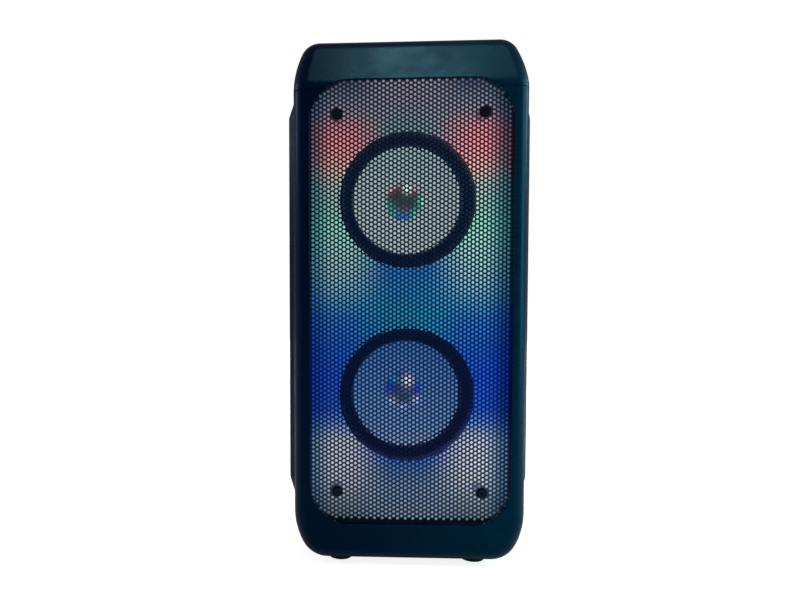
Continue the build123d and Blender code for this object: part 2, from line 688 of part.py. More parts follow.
# ================================================================ controls on top
def make_controls():
    """Sunk button plate, its circuit board and switches, and the six buttons."""
    button_spots = [(BUTTON_PITCH * (index - 2.5), CONTROL_Y) for index in range(len(BUTTON_NAMES))]
    with BuildPart() as panel:
        with BuildSketch(Plane.XY.offset(POCKET_FLOOR_Z)):
            with Locations((0, CONTROL_Y)):
                RectangleRounded(PANEL_LENGTH - 0.4, PANEL_WIDTH - 0.4, 6.8)
            with Locations(*button_spots):
                Circle(BUTTON_RADIUS + 0.3, mode=Mode.SUBTRACT)
        extrude(amount=1.6)
        chamfer(panel.faces().sort_by(Axis.Z)[-1].outer_wire().edges(), 0.3)
    save(panel, "control_panel")

    with BuildPart() as board:
        with BuildSketch(Plane.XY.offset(POCKET_FLOOR_Z - 8.6)):
            with Locations((0, CONTROL_Y)):
                Rectangle(PANEL_LENGTH - 2, PANEL_WIDTH)
        extrude(amount=1.6)
    save(board, "control_board")

    with BuildPart() as switches:
        with BuildSketch(Plane.XY.offset(POCKET_FLOOR_Z - 7)):
            with Locations(*button_spots):
                Rectangle(6, 6)
        extrude(amount=2.4)
        with BuildSketch(Plane.XY.offset(POCKET_FLOOR_Z - 4.6)):
            with Locations(*button_spots):
                Circle(1.7)
        extrude(amount=0.6)
    save(switches, "button_switches")

    for name, (x, y) in zip(BUTTON_NAMES, button_spots):
        with BuildPart() as button:
            with BuildSketch(Plane.XY.offset(POCKET_FLOOR_Z - 3.1)):
                with Locations((x, y)):
                    Circle(2.2)
            extrude(amount=2)
            with BuildSketch(Plane.XY.offset(POCKET_FLOOR_Z - 2.0)):
                with Locations((x, y)):
                    Circle(BUTTON_RADIUS + 1)
            extrude(amount=1.7)
            with BuildSketch(Plane.XY.offset(POCKET_FLOOR_Z - 0.4)):
                with Locations((x, y)):
                    Circle(BUTTON_RADIUS)
            extrude(amount=3.3)
            fillet(button.faces().sort_by(Axis.Z)[-1].edges(), 0.8)
        save(button, f"{name}_button")


# ================================================================ back panel and electronics
def upright_block(x, z, width, height, front_y, back_y):
    """A plain block given by the middle and size of its face and by its two depths."""
    with BuildPart() as block:
        with BuildSketch(facing_front(back_y)):
            with Locations((x, z)):
                Rectangle(width, height)
        extrude(amount=back_y - front_y)
    return block.part


def make_socket_panel():
    """Plate let into the back, with a hole for every socket and for the switch."""
    with BuildPart() as panel:
        with BuildSketch(facing_front(BACK_Y - WALL)):
            with Locations((0, SOCKET_Z)):
                RectangleRounded(SOCKET_PANEL_WIDTH + 6, SOCKET_PANEL_HEIGHT + 6, 4)
        extrude(amount=2)
        with BuildSketch(facing_front(BACK_Y - 1)):
            with Locations((0, SOCKET_Z)):
                RectangleRounded(SOCKET_PANEL_WIDTH - 0.6, SOCKET_PANEL_HEIGHT - 0.6, 2.7)
        extrude(amount=2)
        with BuildSketch(facing_front(BACK_Y)):
            with Locations((MIC_X, SOCKET_Z)):
                Circle(5.0)
            with Locations((AUX_X, AUX_Z)):
                Circle(3.1)
            with Locations((USB_X, USB_Z)):
                RectangleRounded(13.6, 6.2, 0.6)
            with Locations((CARD_X, CARD_Z)):
                RectangleRounded(14.4, 3.0, 0.5)
            with Locations((CHARGE_X, CHARGE_Z)):
                SlotOverall(9.6, 3.8)
            with Locations((SWITCH_X, SWITCH_Z)):
                RectangleRounded(9.0, 3.8, 0.5)
        extrude(amount=6, mode=Mode.SUBTRACT)
    save(panel, "socket_panel")


def make_round_sockets():
    """The two jacks: a block on the board, a barrel through the panel and a blind bore."""
    mic_body = upright_block(MIC_X, SOCKET_Z, 14, 14, 41, 65.8)
    with BuildPart() as mic:
        add(mic_body)
        with BuildSketch(facing_front(70.6)):
            with Locations((MIC_X, SOCKET_Z)):
                Circle(4.8)
        extrude(amount=5)
        with BuildSketch(facing_front(70.6)):
            with Locations((MIC_X, SOCKET_Z)):
                Circle(MIC_BORE_RADIUS)
        extrude(amount=28, mode=Mode.SUBTRACT)
    save(mic, "mic_jack")

    aux_body = upright_block(AUX_X, AUX_Z, 8, 7, 53, 65.8)
    with BuildPart() as aux:
        add(aux_body)
        with BuildSketch(facing_front(70.4)):
            with Locations((AUX_X, AUX_Z)):
                Circle(2.9)
        extrude(amount=5)
        with BuildSketch(facing_front(70.4)):
            with Locations((AUX_X, AUX_Z)):
                Circle(AUX_BORE_RADIUS)
        extrude(amount=15, mode=Mode.SUBTRACT)
    save(aux, "aux_jack")


def make_flat_sockets():
    """USB socket, card slot and charging socket, each a metal box with its contact tongue."""
    usb_shell = upright_block(USB_X, USB_Z, 13.2, 5.8, 56, 69.8)
    usb_tongue = upright_block(USB_X, USB_Z + 1.2, 10.8, 1.6, 57, 65.5)
    with BuildPart() as usb:
        add(usb_shell)
        with BuildSketch(facing_front(69.8)):
            with Locations((USB_X, USB_Z)):
                Rectangle(12.5, 5.1)
        extrude(amount=12.5, mode=Mode.SUBTRACT)
        add(usb_tongue)
    save(usb, "usb_socket")

    card_shell = upright_block(CARD_X, CARD_Z, 14, 2.6, 55, 69.7)
    with BuildPart() as card:
        add(card_shell)
        with BuildSketch(facing_front(69.7)):
            with Locations((CARD_X, CARD_Z)):
                Rectangle(11.5, 1.3)
        extrude(amount=12, mode=Mode.SUBTRACT)
    save(card, "card_slot")

    charge_tongue = upright_block(CHARGE_X, CHARGE_Z, 6.6, 0.7, 62.5, 69.0)
    with BuildPart() as charge:
        with BuildSketch(facing_front(69.7)):
            with Locations((CHARGE_X, CHARGE_Z)):
                SlotOverall(9.0, 3.2)
        extrude(amount=8)
        with BuildSketch(facing_front(69.7)):
            with Locations((CHARGE_X, CHARGE_Z)):
                SlotOverall(8.4, 2.6)
        extrude(amount=6.5, mode=Mode.SUBTRACT)
        add(charge_tongue)
    save(charge, "charge_socket")


def make_power_switch():
    """Slide switch: its housing on the board and the nib that a finger moves."""
    housing_body = upright_block(SWITCH_X, SWITCH_Z, 12, 6, 58, 65.5)
    with BuildPart() as housing:
        add(housing_body)
        with BuildSketch(facing_front(65.5)):
            with Locations((SWITCH_X, SWITCH_Z)):
                Rectangle(8.4, 3.4)
        extrude(amount=4, mode=Mode.SUBTRACT)
    save(housing, "switch_housing")

    nib_x = SWITCH_X - 1.5
    slider_base = upright_block(nib_x, SWITCH_Z, 4.6, 2.8, 62, 65.2)
    nib = upright_block(nib_x, SWITCH_Z, 3.4, 2.6, 65, 70.9)
    with BuildPart() as slider:
        add(slider_base)
        add(nib)
        with BuildSketch(facing_front(71.0)):
            with Locations(*[(nib_x + step, SWITCH_Z) for step in (-0.9, 0, 0.9)]):
                Rectangle(0.3, 2.6)
        extrude(amount=0.5, mode=Mode.SUBTRACT)
    save(slider, "power_slider")


def make_port_tube():
    """Bass port with a flared mouth, held behind the back wall by a flange."""
    mouth_y = BACK_Y - 0.2
    inner_end_y = 24.0
    flare = 2.0
    outer = PORT_RADIUS + PORT_WALL
    with BuildPart() as port:
        with BuildSketch(Plane.XY.offset(PORT_Z)):
            with BuildLine():
                flare_start = (PORT_RADIUS, mouth_y - flare)
                flare_end = (PORT_RADIUS + flare, mouth_y)
                RadiusArc(flare_start, flare_end, flare)
                Polyline(
                    flare_end, (outer, mouth_y), (outer, BACK_Y - WALL), (outer + 5, BACK_Y - WALL),
                    (outer + 5, BACK_Y - WALL - 2), (outer, BACK_Y - WALL - 2), (outer, inner_end_y),
                    (PORT_RADIUS, inner_end_y), flare_start,
                )
            make_face()
        revolve(axis=Axis((0, 0, PORT_Z), (0, 1, 0)))
    save(port, "port_tube")


def make_main_board():
    """Level circuit board behind the sockets, and the larger parts soldered to it."""
    with BuildPart() as board:
        with BuildSketch(Plane.XY.offset(BOARD_TOP_Z - 1.6)):
            with Locations((0, 42)):
                Rectangle(106, 47)
        extrude(amount=1.6)
    save(board, "main_board")

    chips = [(-24, 30, 10, 10, 1.6), (6, 32, 14, 14, 1.8), (30, 30, 6, 8, 1.5), (6, 46, 5, 6, 1.4)]
    can_spots = [(-44, 28), (-34, 28), (44, 28), (44, 42)]
    with BuildPart() as components:
        for x, y, length, width, height in chips:
            with BuildSketch(Plane.XY.offset(BOARD_TOP_Z)):
                with Locations((x, y)):
                    Rectangle(length, width)
            extrude(amount=height)
        with BuildSketch(Plane.XY.offset(BOARD_TOP_Z)):
            with Locations(*can_spots):
                Circle(4.0)
        extrude(amount=11)
    save(components, "board_components")


def make_battery():
    """Open tray on the floor of the back moulding, with two round cells lying in it."""
    cell_radius = 9.2
    cell_length = 65.0
    floor_z = FOOT_HEIGHT + WALL
    cell_z = floor_z + 2 + cell_radius
    cell_depths = (18.0, 38.0)
    with BuildPart() as holder:
        with BuildSketch(Plane.XY.offset(floor_z)):
            with Locations((0, 28)):
                Rectangle(cell_length + 6, 43)
        extrude(amount=14)
        with BuildSketch(Plane.XY.offset(floor_z + 1.8)):
            with Locations((0, 28)):
                Rectangle(cell_length + 1, 39)
        extrude(amount=20, mode=Mode.SUBTRACT)
    save(holder, "battery_holder")

    with BuildPart() as cells:
        with BuildSketch(Plane.YZ.offset(-cell_length / 2)):
            with Locations(*[(depth, cell_z) for depth in cell_depths]):
                Circle(cell_radius)
        extrude(amount=cell_length)
    save(cells, "battery_cells")


def make_wire_harness():
    """Leads from the main board to both drivers, the lamps, the battery and the buttons."""
    wire_radius = 1.0
    lift = BOARD_TOP_Z + wire_radius
    upper_z = DRIVER_CENTRES["upper"] - 33.9
    lower_z = DRIVER_CENTRES["lower"] + 33.9
    routes = {
        "upper driver": [
            (4.5, -19, upper_z), (4.5, -19, upper_z - 8), (4.5, 2, upper_z - 14), (10, 14, 190), (16, 20, 175),
            (16, 23, lift),
        ],
        "lower driver": [
            (-4.5, -19, lower_z), (-4.5, -19, lower_z + 8), (-6, -4, 163), (-10, 10, 167.5), (-14, 23, lift),
        ],
        "lamps": [(60, -40.5, 186), (58, -20, 184), (50, 4, 176), (42, 20, lift)],
        "battery": [(37, 20, 20), (46, 20, 28), (50, 14, 60), (50, 12, 130), (44, 14, 158), (34, 17, 166)],
        "buttons": [(-30, 4, 344), (-36, 12, 330), (-46, 20, 300), (-46, 20, 200), (-50, 21, 172)],
    }
    bend = 5.0
    with BuildPart() as harness:
        for points in routes.values():
            with BuildLine() as path:
                FilletPolyline(*points, radius=bend)
            wire = path.wires()[0]
            with BuildSketch(Plane(origin=wire @ 0, z_dir=wire % 0)):
                Circle(wire_radius)
            sweep(path=wire)
    save(harness, "wire_harness")


os.makedirs("parts", exist_ok=True)
make_front_frame()
make_rear_shell()
make_top_cap()
make_side_panels()
make_feet()
make_case_screws()
make_grille()
make_grille_screws()
make_baffle()
make_light_panel()
make_led_board()
for driver_name, driver_z in DRIVER_CENTRES.items():
    make_basket(driver_name, driver_z)
    make_surround(driver_name, driver_z)
    make_cone(driver_name, driver_z)
    make_dust_cap(driver_name, driver_z)
    make_voice_coil(driver_name, driver_z)
    make_spider(driver_name, driver_z)
    make_motor(driver_name, driver_z)
    make_driver_fixings(driver_name, driver_z)
make_controls()
make_socket_panel()
make_round_sockets()
make_flat_sockets()
make_power_switch()
make_port_tube()
make_main_board()
make_battery()
make_wire_harness()
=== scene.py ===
"""Looks for a two-driver party speaker: perforated front, lit panel behind it, mirror dust caps.

Frame: +X to the right of someone facing the grille, +Y from front to back, +Z up, metres.
"""

from math import atan2, cos, hypot, pi, radians, sin, sqrt

import bmesh
import bpy
from mathutils import Matrix, Vector
from mathutils.geometry import delaunay_2d_cdt


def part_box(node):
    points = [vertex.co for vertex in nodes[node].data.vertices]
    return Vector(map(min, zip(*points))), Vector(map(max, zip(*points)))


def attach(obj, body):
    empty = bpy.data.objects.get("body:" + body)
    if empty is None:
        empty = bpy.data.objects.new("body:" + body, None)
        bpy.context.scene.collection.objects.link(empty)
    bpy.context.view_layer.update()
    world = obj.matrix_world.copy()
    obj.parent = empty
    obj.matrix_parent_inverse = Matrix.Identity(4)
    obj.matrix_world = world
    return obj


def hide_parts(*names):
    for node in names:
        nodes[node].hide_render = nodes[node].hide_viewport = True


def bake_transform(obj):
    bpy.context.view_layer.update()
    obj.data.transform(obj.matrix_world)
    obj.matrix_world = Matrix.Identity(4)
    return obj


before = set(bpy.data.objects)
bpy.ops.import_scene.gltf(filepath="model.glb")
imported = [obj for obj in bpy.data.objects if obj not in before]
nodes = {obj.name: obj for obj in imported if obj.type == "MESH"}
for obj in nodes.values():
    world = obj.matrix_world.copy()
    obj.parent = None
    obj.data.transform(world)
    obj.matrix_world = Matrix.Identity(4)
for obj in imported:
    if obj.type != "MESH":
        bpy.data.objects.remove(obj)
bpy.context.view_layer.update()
MM = 0.001

# ---------------------------------------------------------------- sizes read from the frame
GRILLE_LOW, GRILLE_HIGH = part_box("grille")
OPENING_Z = (GRILLE_LOW.z + GRILLE_HIGH.z) / 2
DRIVER_Z = {
    driver: sum(corner.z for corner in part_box(f"{driver}_cone")) / 2 for driver in ("upper", "lower")
}

# ---------------------------------------------------------------- perforated sheet
SHEET_THICKNESS = 0.8 * MM
SHEET_OUTLINE_RADIUS = 29.5 * MM
HOLE_PITCH = 3.0 * MM
HOLE_RADIUS = 0.97 * MM
HOLE_SIDES = 12
LEAST_METAL = 0.4 * MM
COLUMN_STEP = HOLE_PITCH * sqrt(3) / 2
CELL_RADIUS = HOLE_PITCH / sqrt(3)
COLUMNS = range(-28, 29)
ROWS = range(-52, 53)
CROWN = 1.5 * MM
CROWN_HALF_SPAN = 66.15 * MM
CROWN_RADIUS = (CROWN_HALF_SPAN**2 + CROWN**2) / (2 * CROWN)
FLAT_Y = -66.0 * MM
BOTTOM_RIM = 4.1 * MM
TOP_RIM = 0.3 * MM
SCREW_POINTS = [(x * MM, OPENING_Z + z * MM) for x in (-48.6, 48.6) for z in (-127.7, 127.7)]
SCREW_HOLE_RADIUS = 1.7 * MM
SCREW_HOLE_SIDES = 20
INSIDE_HOLE = 0.98
DIMPLE_DEPTH = 0.9 * MM
DIMPLE_FLOOR_RADIUS = 3.0 * MM
DIMPLE_EDGE_RADIUS = 4.5 * MM
PUNCH_CLEARANCE = 4.2 * MM
DIMPLE_RINGS = (
    (2.3 * MM, 22), (2.8 * MM, 26), (3.2 * MM, 30), (3.6 * MM, 32), (4.0 * MM, 34), (4.5 * MM, 36),
)
CORNER_STEPS = 24
LONGEST_EDGE = 4 * MM
POINT_KEYS_PER_METRE = 1e7
MERGE_DISTANCE = 1e-8


# ================================================================ materials
def rgb(red, green, blue):
    """A linear colour from 0-255 display values."""
    linear = []
    for value in (red, green, blue):
        share = value / 255
        linear.append(share / 12.92 if share <= 0.04045 else ((share + 0.055) / 1.055) ** 2.4)
    return (*linear, 1.0)


def add_node(tree, kind, inputs=None, **settings):
    """A shader node with its settings made and its inputs set or linked."""
    made = tree.nodes.new(kind)
    for key, value in settings.items():
        setattr(made, key, value)
    for key, value in (inputs or {}).items():
        if isinstance(value, bpy.types.NodeSocket):
            tree.links.new(value, made.inputs[key])
        else:
            made.inputs[key].default_value = value
    return made


def math_node(tree, operation, first, second=0.0):
    """The result of one arithmetic node."""
    return add_node(tree, "ShaderNodeMath", {0: first, 1: second}, operation=operation).outputs[0]


def vector_node(tree, operation, first, second, result=0):
    """The result of one vector arithmetic node."""
    return add_node(tree, "ShaderNodeVectorMath", {0: first, 1: second}, operation=operation).outputs[result]


def ramp(tree, factor, stops):
    """A colour ramp's result, from (position, colour) stops."""
    made = add_node(tree, "ShaderNodeValToRGB", {"Fac": factor})
    elements = made.color_ramp.elements
    while len(elements) < len(stops):
        elements.new(0.5)
    for element, (position, colour) in zip(elements, stops):
        element.position = position
        element.color = colour
    return made.outputs["Color"]


def mix_colours(tree, factor, first, second, blend="MIX"):
    """Two colours mixed or multiplied."""
    mix = add_node(tree, "ShaderNodeMix", data_type="RGBA", blend_type=blend)
    for socket, value in (("Factor", factor), ("A", first), ("B", second)):
        if isinstance(value, bpy.types.NodeSocket):
            tree.links.new(value, mix.inputs[socket])
        else:
            mix.inputs[socket].default_value = value
    return mix.outputs["Result"]


def noise(tree, place, size, detail=3.0, roughness=0.55):
    """Noise whose features are about the given size in metres."""
    inputs = {"Vector": place, "Scale": 1.0 / size, "Detail": detail, "Roughness": roughness}
    return add_node(tree, "ShaderNodeTexNoise", inputs).outputs["Fac"]


def shaded(colour, share):
    """A colour made lighter or darker."""
    return (*[min(1.0, channel * share) for channel in colour[:3]], 1.0)


PATCH_SHARE = 0.7
BLOTCH_LOW, BLOTCH_HIGH = 0.3, 0.7
WORN_EDGES = [(0.53, (0, 0, 0, 1)), (0.62, (1, 1, 1, 1))]
WORN_LIFT, WORN_GAIN = 0.05, 1.6
SMOOTHEST = 0.02
GRAIN_STRENGTH = 0.6


def finish_material(name, colour, roughness, *, grain, grain_depth, mottle=0.12, mottle_size=18 * MM,
                    roughness_spread=0.08, metallic=0.0, wear=0.0, sockets=None):
    """A moulded, painted or plated finish: fine grain, uneven colour and gloss, worn edges."""
    material = bpy.data.materials.new(name)
    material.use_nodes = True
    tree = material.node_tree
    shader = tree.nodes["Principled BSDF"]
    place = add_node(tree, "ShaderNodeTexCoord").outputs["Object"]
    patches = noise(tree, place, mottle_size, detail=4.0)
    specks = noise(tree, place, grain)
    wide = math_node(tree, "MULTIPLY", patches, PATCH_SHARE)
    fine = math_node(tree, "MULTIPLY", specks, 1 - PATCH_SHARE)
    blotches = math_node(tree, "ADD", wide, fine)
    base = ramp(tree, blotches, [
        (BLOTCH_LOW, shaded(colour, 1 - mottle)), (BLOTCH_HIGH, shaded(colour, 1 + mottle)),
    ])
    if wear:
        edge = add_node(tree, "ShaderNodeNewGeometry").outputs["Pointiness"]
        scuffed = math_node(tree, "MULTIPLY", ramp(tree, edge, WORN_EDGES), specks)
        bare = shaded([channel + WORN_LIFT for channel in colour[:3]], WORN_GAIN)
        base = mix_colours(tree, math_node(tree, "MULTIPLY", scuffed, wear), base, bare)
    tree.links.new(base, shader.inputs["Base Color"])
    gloss = add_node(tree, "ShaderNodeMapRange", {
        "Value": blotches, "From Min": BLOTCH_LOW, "From Max": BLOTCH_HIGH,
        "To Min": max(SMOOTHEST, roughness - roughness_spread), "To Max": roughness + roughness_spread,
    })
    tree.links.new(gloss.outputs["Result"], shader.inputs["Roughness"])
    bump = add_node(tree, "ShaderNodeBump", {
        "Height": specks, "Strength": GRAIN_STRENGTH, "Distance": grain_depth,
    })
    tree.links.new(bump.outputs["Normal"], shader.inputs["Normal"])
    shader.inputs["Metallic"].default_value = metallic
    for socket, value in (sockets or {}).items():
        shader.inputs[socket].default_value = value
    return material


def grain_shader(material):
    """The tree, shader and object place of a finish, for adding to it."""
    tree = material.node_tree
    place = next(made for made in tree.nodes if made.type == "TEX_COORD").outputs["Object"]
    return tree, tree.nodes["Principled BSDF"], place


def glow_bands(tree, height, bands):
    """Colour by height, from (millimetres above the grille's middle, display colour) bands."""
    share = add_node(tree, "ShaderNodeMapRange", {
        "Value": height, "From Min": -BAND_REACH * MM, "From Max": BAND_REACH * MM,
    }).outputs["Result"]
    stops = [((z + BAND_REACH) / (2 * BAND_REACH), rgb(*colour)) for z, colour in sorted(bands.items())]
    return ramp(tree, share, stops)


def height_and_side(tree, place):
    """Height above the grille's middle, and distance from the middle line."""
    parts = add_node(tree, "ShaderNodeSeparateXYZ", {0: place}).outputs
    height = math_node(tree, "SUBTRACT", parts["Z"], OPENING_Z)
    return height, math_node(tree, "ABSOLUTE", parts["X"])


def smooth_step(tree, value, start, end):
    """0 below start, 1 above end, both in millimetres, and a smooth rise between them."""
    inputs = {"Value": value, "From Min": start * MM, "From Max": end * MM}
    return add_node(tree, "ShaderNodeMapRange", inputs, interpolation_type="SMOOTHSTEP").outputs["Result"]


# What the lamps send through the milky panel: display colours by height above the grille's middle in
# millimetres, for the columns down each side and for the one down the middle.
BAND_REACH = 150
MIDDLE_COLUMN = (10, 44)
DIM_EDGE = (51, 65)
PANEL_GLOW = 1.65
CONE_GLOW = 1.2
SPILL_GLOW = 1.15
RUBBER_GLOW = 0.8
SIDE_BANDS = {
    150: (62, 76, 100), 140: (101, 110, 126), 130: (130, 122, 136), 120: (186, 124, 132),
    104: (204, 132, 136), 92: (188, 160, 150), 82: (152, 168, 164), 68: (136, 170, 166),
    52: (129, 188, 176), 40: (138, 180, 174), 24: (132, 166, 169), 10: (104, 150, 168),
    0: (60, 128, 164), -10: (32, 104, 164), -30: (13, 82, 167), -50: (11, 70, 177),
    -74: (26, 80, 168), -84: (92, 126, 170), -96: (170, 171, 178), -112: (177, 174, 172),
    -124: (163, 164, 164), -136: (124, 134, 138), -150: (84, 100, 108),
}
MIDDLE_BANDS = {
    150: (125, 121, 132), 134: (120, 123, 134), 122: (102, 130, 138), 24: (27, 96, 152),
    10: (30, 108, 150), 0: (22, 113, 147), -8: (22, 118, 146), -104: (44, 80, 165),
    -112: (60, 94, 152), -119: (78, 109, 140), -128: (100, 123, 147), -150: (108, 124, 140),
}
EDGE_TINT = (0.24, 0.46, 0.64, 1.0)
# Brightness by distance to the right of the middle, in millimetres.
ACROSS_REACH = 70
ACROSS_GAIN = {-70: 0.72, -50: 0.78, 0: 0.86, 46: 1.0, 60: 0.98, 66: 0.6, 70: 0.5}
CONE_BANDS = {
    -101: (118, 138, 164), -85: (92, 122, 157), -64: (74, 111, 155), -40: (52, 98, 146), -27: (46, 92, 142),
    34: (152, 164, 173), 75: (150, 164, 168), 109: (132, 158, 165),
}
# The light that spills on to the perforated sheet in front of the panel and of the cones, and on to the
# rubber rings. The sheet is dark in its dimples and where it covers a ring, in millimetres from the ring's
# centre. That centre is shifted as for an eye in front of the grille and a little to the left.
SHEET_SIDE_BANDS = {
    150: (28, 27, 40), 130: (33, 31, 43), 114: (74, 26, 30), 94: (66, 30, 32), 78: (24, 46, 44),
    52: (20, 57, 46), 30: (18, 50, 58), 8: (12, 44, 70), -10: (4, 30, 86), -50: (4, 22, 94),
    -78: (8, 26, 90), -92: (40, 54, 82), -120: (40, 52, 76), -143: (29, 41, 54), -145: (3, 6, 14),
}
SHEET_MIDDLE_BANDS = {
    150: (33, 31, 43), 120: (30, 36, 45), 24: (2, 40, 85), -8: (1, 41, 76), -104: (10, 30, 80),
    -112: (22, 39, 71), -143: (29, 41, 56), -145: (3, 6, 14),
}
SHEET_CONE_BANDS = {
    -101: (34, 46, 74), -85: (18, 38, 76), -50: (12, 32, 75), -27: (10, 30, 74), 34: (34, 42, 46),
    109: (30, 43, 47),
}
RUBBER_BANDS = {
    -101: (6, 12, 50), -64: (4, 12, 54), -25: (4, 16, 50), 34: (6, 24, 42), 75: (5, 36, 46),
    115: (18, 30, 44),
}
RING_INNER, RING_OUTER = 34.9, 44.8
RING_BLUR = 1
RING_SHADE = (0.0, 0.0015, 0.013, 1.0)
DIMPLE_SHADE = (0.0, 0.0015, 0.008, 1.0)
DIMPLE_FADE = (2.8, 4.6)
EYE_X, EYE_Z = -60 * MM, 205 * MM
RING_PARALLAX = 0.055
RING_CENTRES = [(EYE_X * RING_PARALLAX, z + (EYE_Z - z) * RING_PARALLAX) for z in DRIVER_Z.values()]


def side_and_middle(tree, height, side, side_bands, middle_bands):
    """A column of colours down each side, and another down the middle."""
    share = smooth_step(tree, side, *MIDDLE_COLUMN)
    middle = glow_bands(tree, height, middle_bands)
    return mix_colours(tree, share, middle, glow_bands(tree, height, side_bands))


def fade_to_edges(tree, place, side, columns):
    """Dim the columns of colour near the sheet's edges, and a little towards the left."""
    faded = mix_colours(tree, smooth_step(tree, side, *DIM_EDGE), columns, EDGE_TINT, "MULTIPLY")
    across = add_node(tree, "ShaderNodeMapRange", {
        "Value": add_node(tree, "ShaderNodeSeparateXYZ", {0: place}).outputs["X"],
        "From Min": -ACROSS_REACH * MM, "From Max": ACROSS_REACH * MM,
    }).outputs["Result"]
    stops = [
        ((x + ACROSS_REACH) / (2 * ACROSS_REACH), (gain, gain, gain, 1)) for x, gain in ACROSS_GAIN.items()
    ]
    return mix_colours(tree, 1.0, faded, ramp(tree, across, stops), "MULTIPLY")


def light_panel_material():
    """Milky sheet lit from behind."""
    material = finish_material(
        "milky_diffuser", rgb(96, 100, 110), 0.42, grain=0.5 * MM, grain_depth=0.02 * MM, mottle=0.03,
    )
    tree, shader, place = grain_shader(material)
    height, side = height_and_side(tree, place)
    columns = side_and_middle(tree, height, side, SIDE_BANDS, MIDDLE_BANDS)
    glow = fade_to_edges(tree, place, side, columns)
    tree.links.new(glow, shader.inputs["Emission Color"])
    shader.inputs["Emission Strength"].default_value = PANEL_GLOW
    return material


def ring_distance(tree, place):
    """Distance on the sheet from the nearer ring's centre."""
    flat = vector_node(tree, "MULTIPLY", place, (1.0, 0.0, 1.0))
    distances = [vector_node(tree, "DISTANCE", flat, (x, 0.0, z), "Value") for x, z in RING_CENTRES]
    return math_node(tree, "MINIMUM", *distances)


def screw_side_distance(tree, side, height):
    """Distance from the nearest screw; the four are placed evenly about the grille's middle."""
    rise = math_node(tree, "ABSOLUTE", height)
    corner = add_node(tree, "ShaderNodeCombineXYZ", {0: side, 2: rise}).outputs[0]
    screw = (SCREW_POINTS[-1][0], 0.0, SCREW_POINTS[-1][1] - OPENING_Z)
    return vector_node(tree, "DISTANCE", corner, screw, "Value")


def light_the_sheet(material):
    """Let the panel and the cones throw colour on to the sheet, but not in front of the rubber rings."""
    tree, shader, place = grain_shader(material)
    height, side = height_and_side(tree, place)
    distance = ring_distance(tree, place)
    columns = side_and_middle(tree, height, side, SHEET_SIDE_BANDS, SHEET_MIDDLE_BANDS)
    columns = fade_to_edges(tree, place, side, columns)
    past_cone = smooth_step(tree, distance, RING_INNER - RING_BLUR, RING_INNER + RING_BLUR)
    past_ring = smooth_step(tree, distance, RING_OUTER - RING_BLUR, RING_OUTER + 2 * RING_BLUR)
    spill = mix_colours(tree, past_ring, glow_bands(tree, height, SHEET_CONE_BANDS), columns)
    over_ring = math_node(tree, "SUBTRACT", past_cone, past_ring)
    past_dimple = smooth_step(tree, screw_side_distance(tree, side, height), *DIMPLE_FADE)
    spill = mix_colours(tree, past_dimple, DIMPLE_SHADE, spill)
    glow = mix_colours(tree, over_ring, spill, RING_SHADE)
    tree.links.new(glow, shader.inputs["Emission Color"])
    shader.inputs["Emission Strength"].default_value = SPILL_GLOW


def light_the_rubber(material):
    """Let the lamps' colour show faintly on a rubber ring."""
    tree, shader, place = grain_shader(material)
    height, _ = height_and_side(tree, place)
    tree.links.new(glow_bands(tree, height, RUBBER_BANDS), shader.inputs["Emission Color"])
    shader.inputs["Emission Strength"].default_value = RUBBER_GLOW


# Painted light and shade across the housing and pads reach this far to each side of the middle, in
# millimetres.
PAINTED_LIGHT_REACH = 75


def paint_light_across(material, left, right):
    """Paint light and shade across a finish: a slow change of colour from the shaded side of the object to
    the lit side.
    """
    tree, shader, place = grain_shader(material)
    across = add_node(tree, "ShaderNodeSeparateXYZ", {0: place}).outputs["X"]
    painted_side_light = mix_colours(tree, smooth_step(tree, across, -PAINTED_LIGHT_REACH, PAINTED_LIGHT_REACH), left, right)
    base = shader.inputs["Base Color"].links[0].from_socket
    tree.links.new(mix_colours(tree, 1.0, base, painted_side_light, "MULTIPLY"), shader.inputs["Base Color"])


housing = finish_material(
    "housing_plastic", rgb(5, 40, 66), 0.3, grain=0.55 * MM, grain_depth=0.05 * MM, mottle=0.22, wear=0.35,
    sockets={"Specular IOR Level": 0.3, "Specular Tint": (0.03, 0.5, 0.9, 1)},
)
# Painted light and shade: the housing is darker and bluer on the left and lit teal on the right.
paint_light_across(housing, (0.1, 0.1, 0.38, 1), (0.4, 1.0, 0.9, 1))
pad = finish_material(
    "pad_plastic", rgb(4, 22, 40), 0.36, grain=0.8 * MM, grain_depth=0.03 * MM, mottle=0.18, wear=0.3,
    sockets={"Specular IOR Level": 0.3, "Specular Tint": (0.06, 0.5, 0.9, 1)},
)
# Painted light and shade: the side pads are darker and bluer on the left and lit teal on the right.
paint_light_across(pad, (0.1, 0.1, 0.6, 1), (0.6, 1.0, 0.9, 1))
foot_rubber = finish_material(
    "foot_rubber", rgb(26, 27, 30), 0.72, grain=0.4 * MM, grain_depth=0.06 * MM, mottle=0.2, wear=0.3,
)
grille_paint = finish_material(
    "grille_powder_coat", rgb(3, 6, 16), 0.5, grain=0.25 * MM, grain_depth=0.02 * MM, mottle=0.15, wear=0.2,
    sockets={"Specular IOR Level": 0.2, "Specular Tint": (0.3, 0.55, 1.0, 1)},
)
light_the_sheet(grille_paint)
black_screw = finish_material(
    "black_oxide_steel", rgb(38, 42, 58), 0.3, grain=0.6 * MM, grain_depth=0.004 * MM, metallic=0.9, wear=0.6,
)
white_plastic = finish_material(
    "white_plastic", rgb(225, 228, 230), 0.45, grain=0.6 * MM, grain_depth=0.03 * MM,
)
board_laminate = finish_material(
    "white_solder_mask", rgb(222, 226, 222), 0.34, grain=0.9 * MM, grain_depth=0.01 * MM, mottle=0.05,
)
green_board = finish_material(
    "green_solder_mask", rgb(22, 96, 52), 0.3, grain=0.9 * MM, grain_depth=0.015 * MM, mottle=0.2,
    mottle_size=4 * MM,
)
basket_paint = finish_material(
    "basket_paint", rgb(36, 36, 39), 0.45, grain=0.35 * MM, grain_depth=0.03 * MM,
)
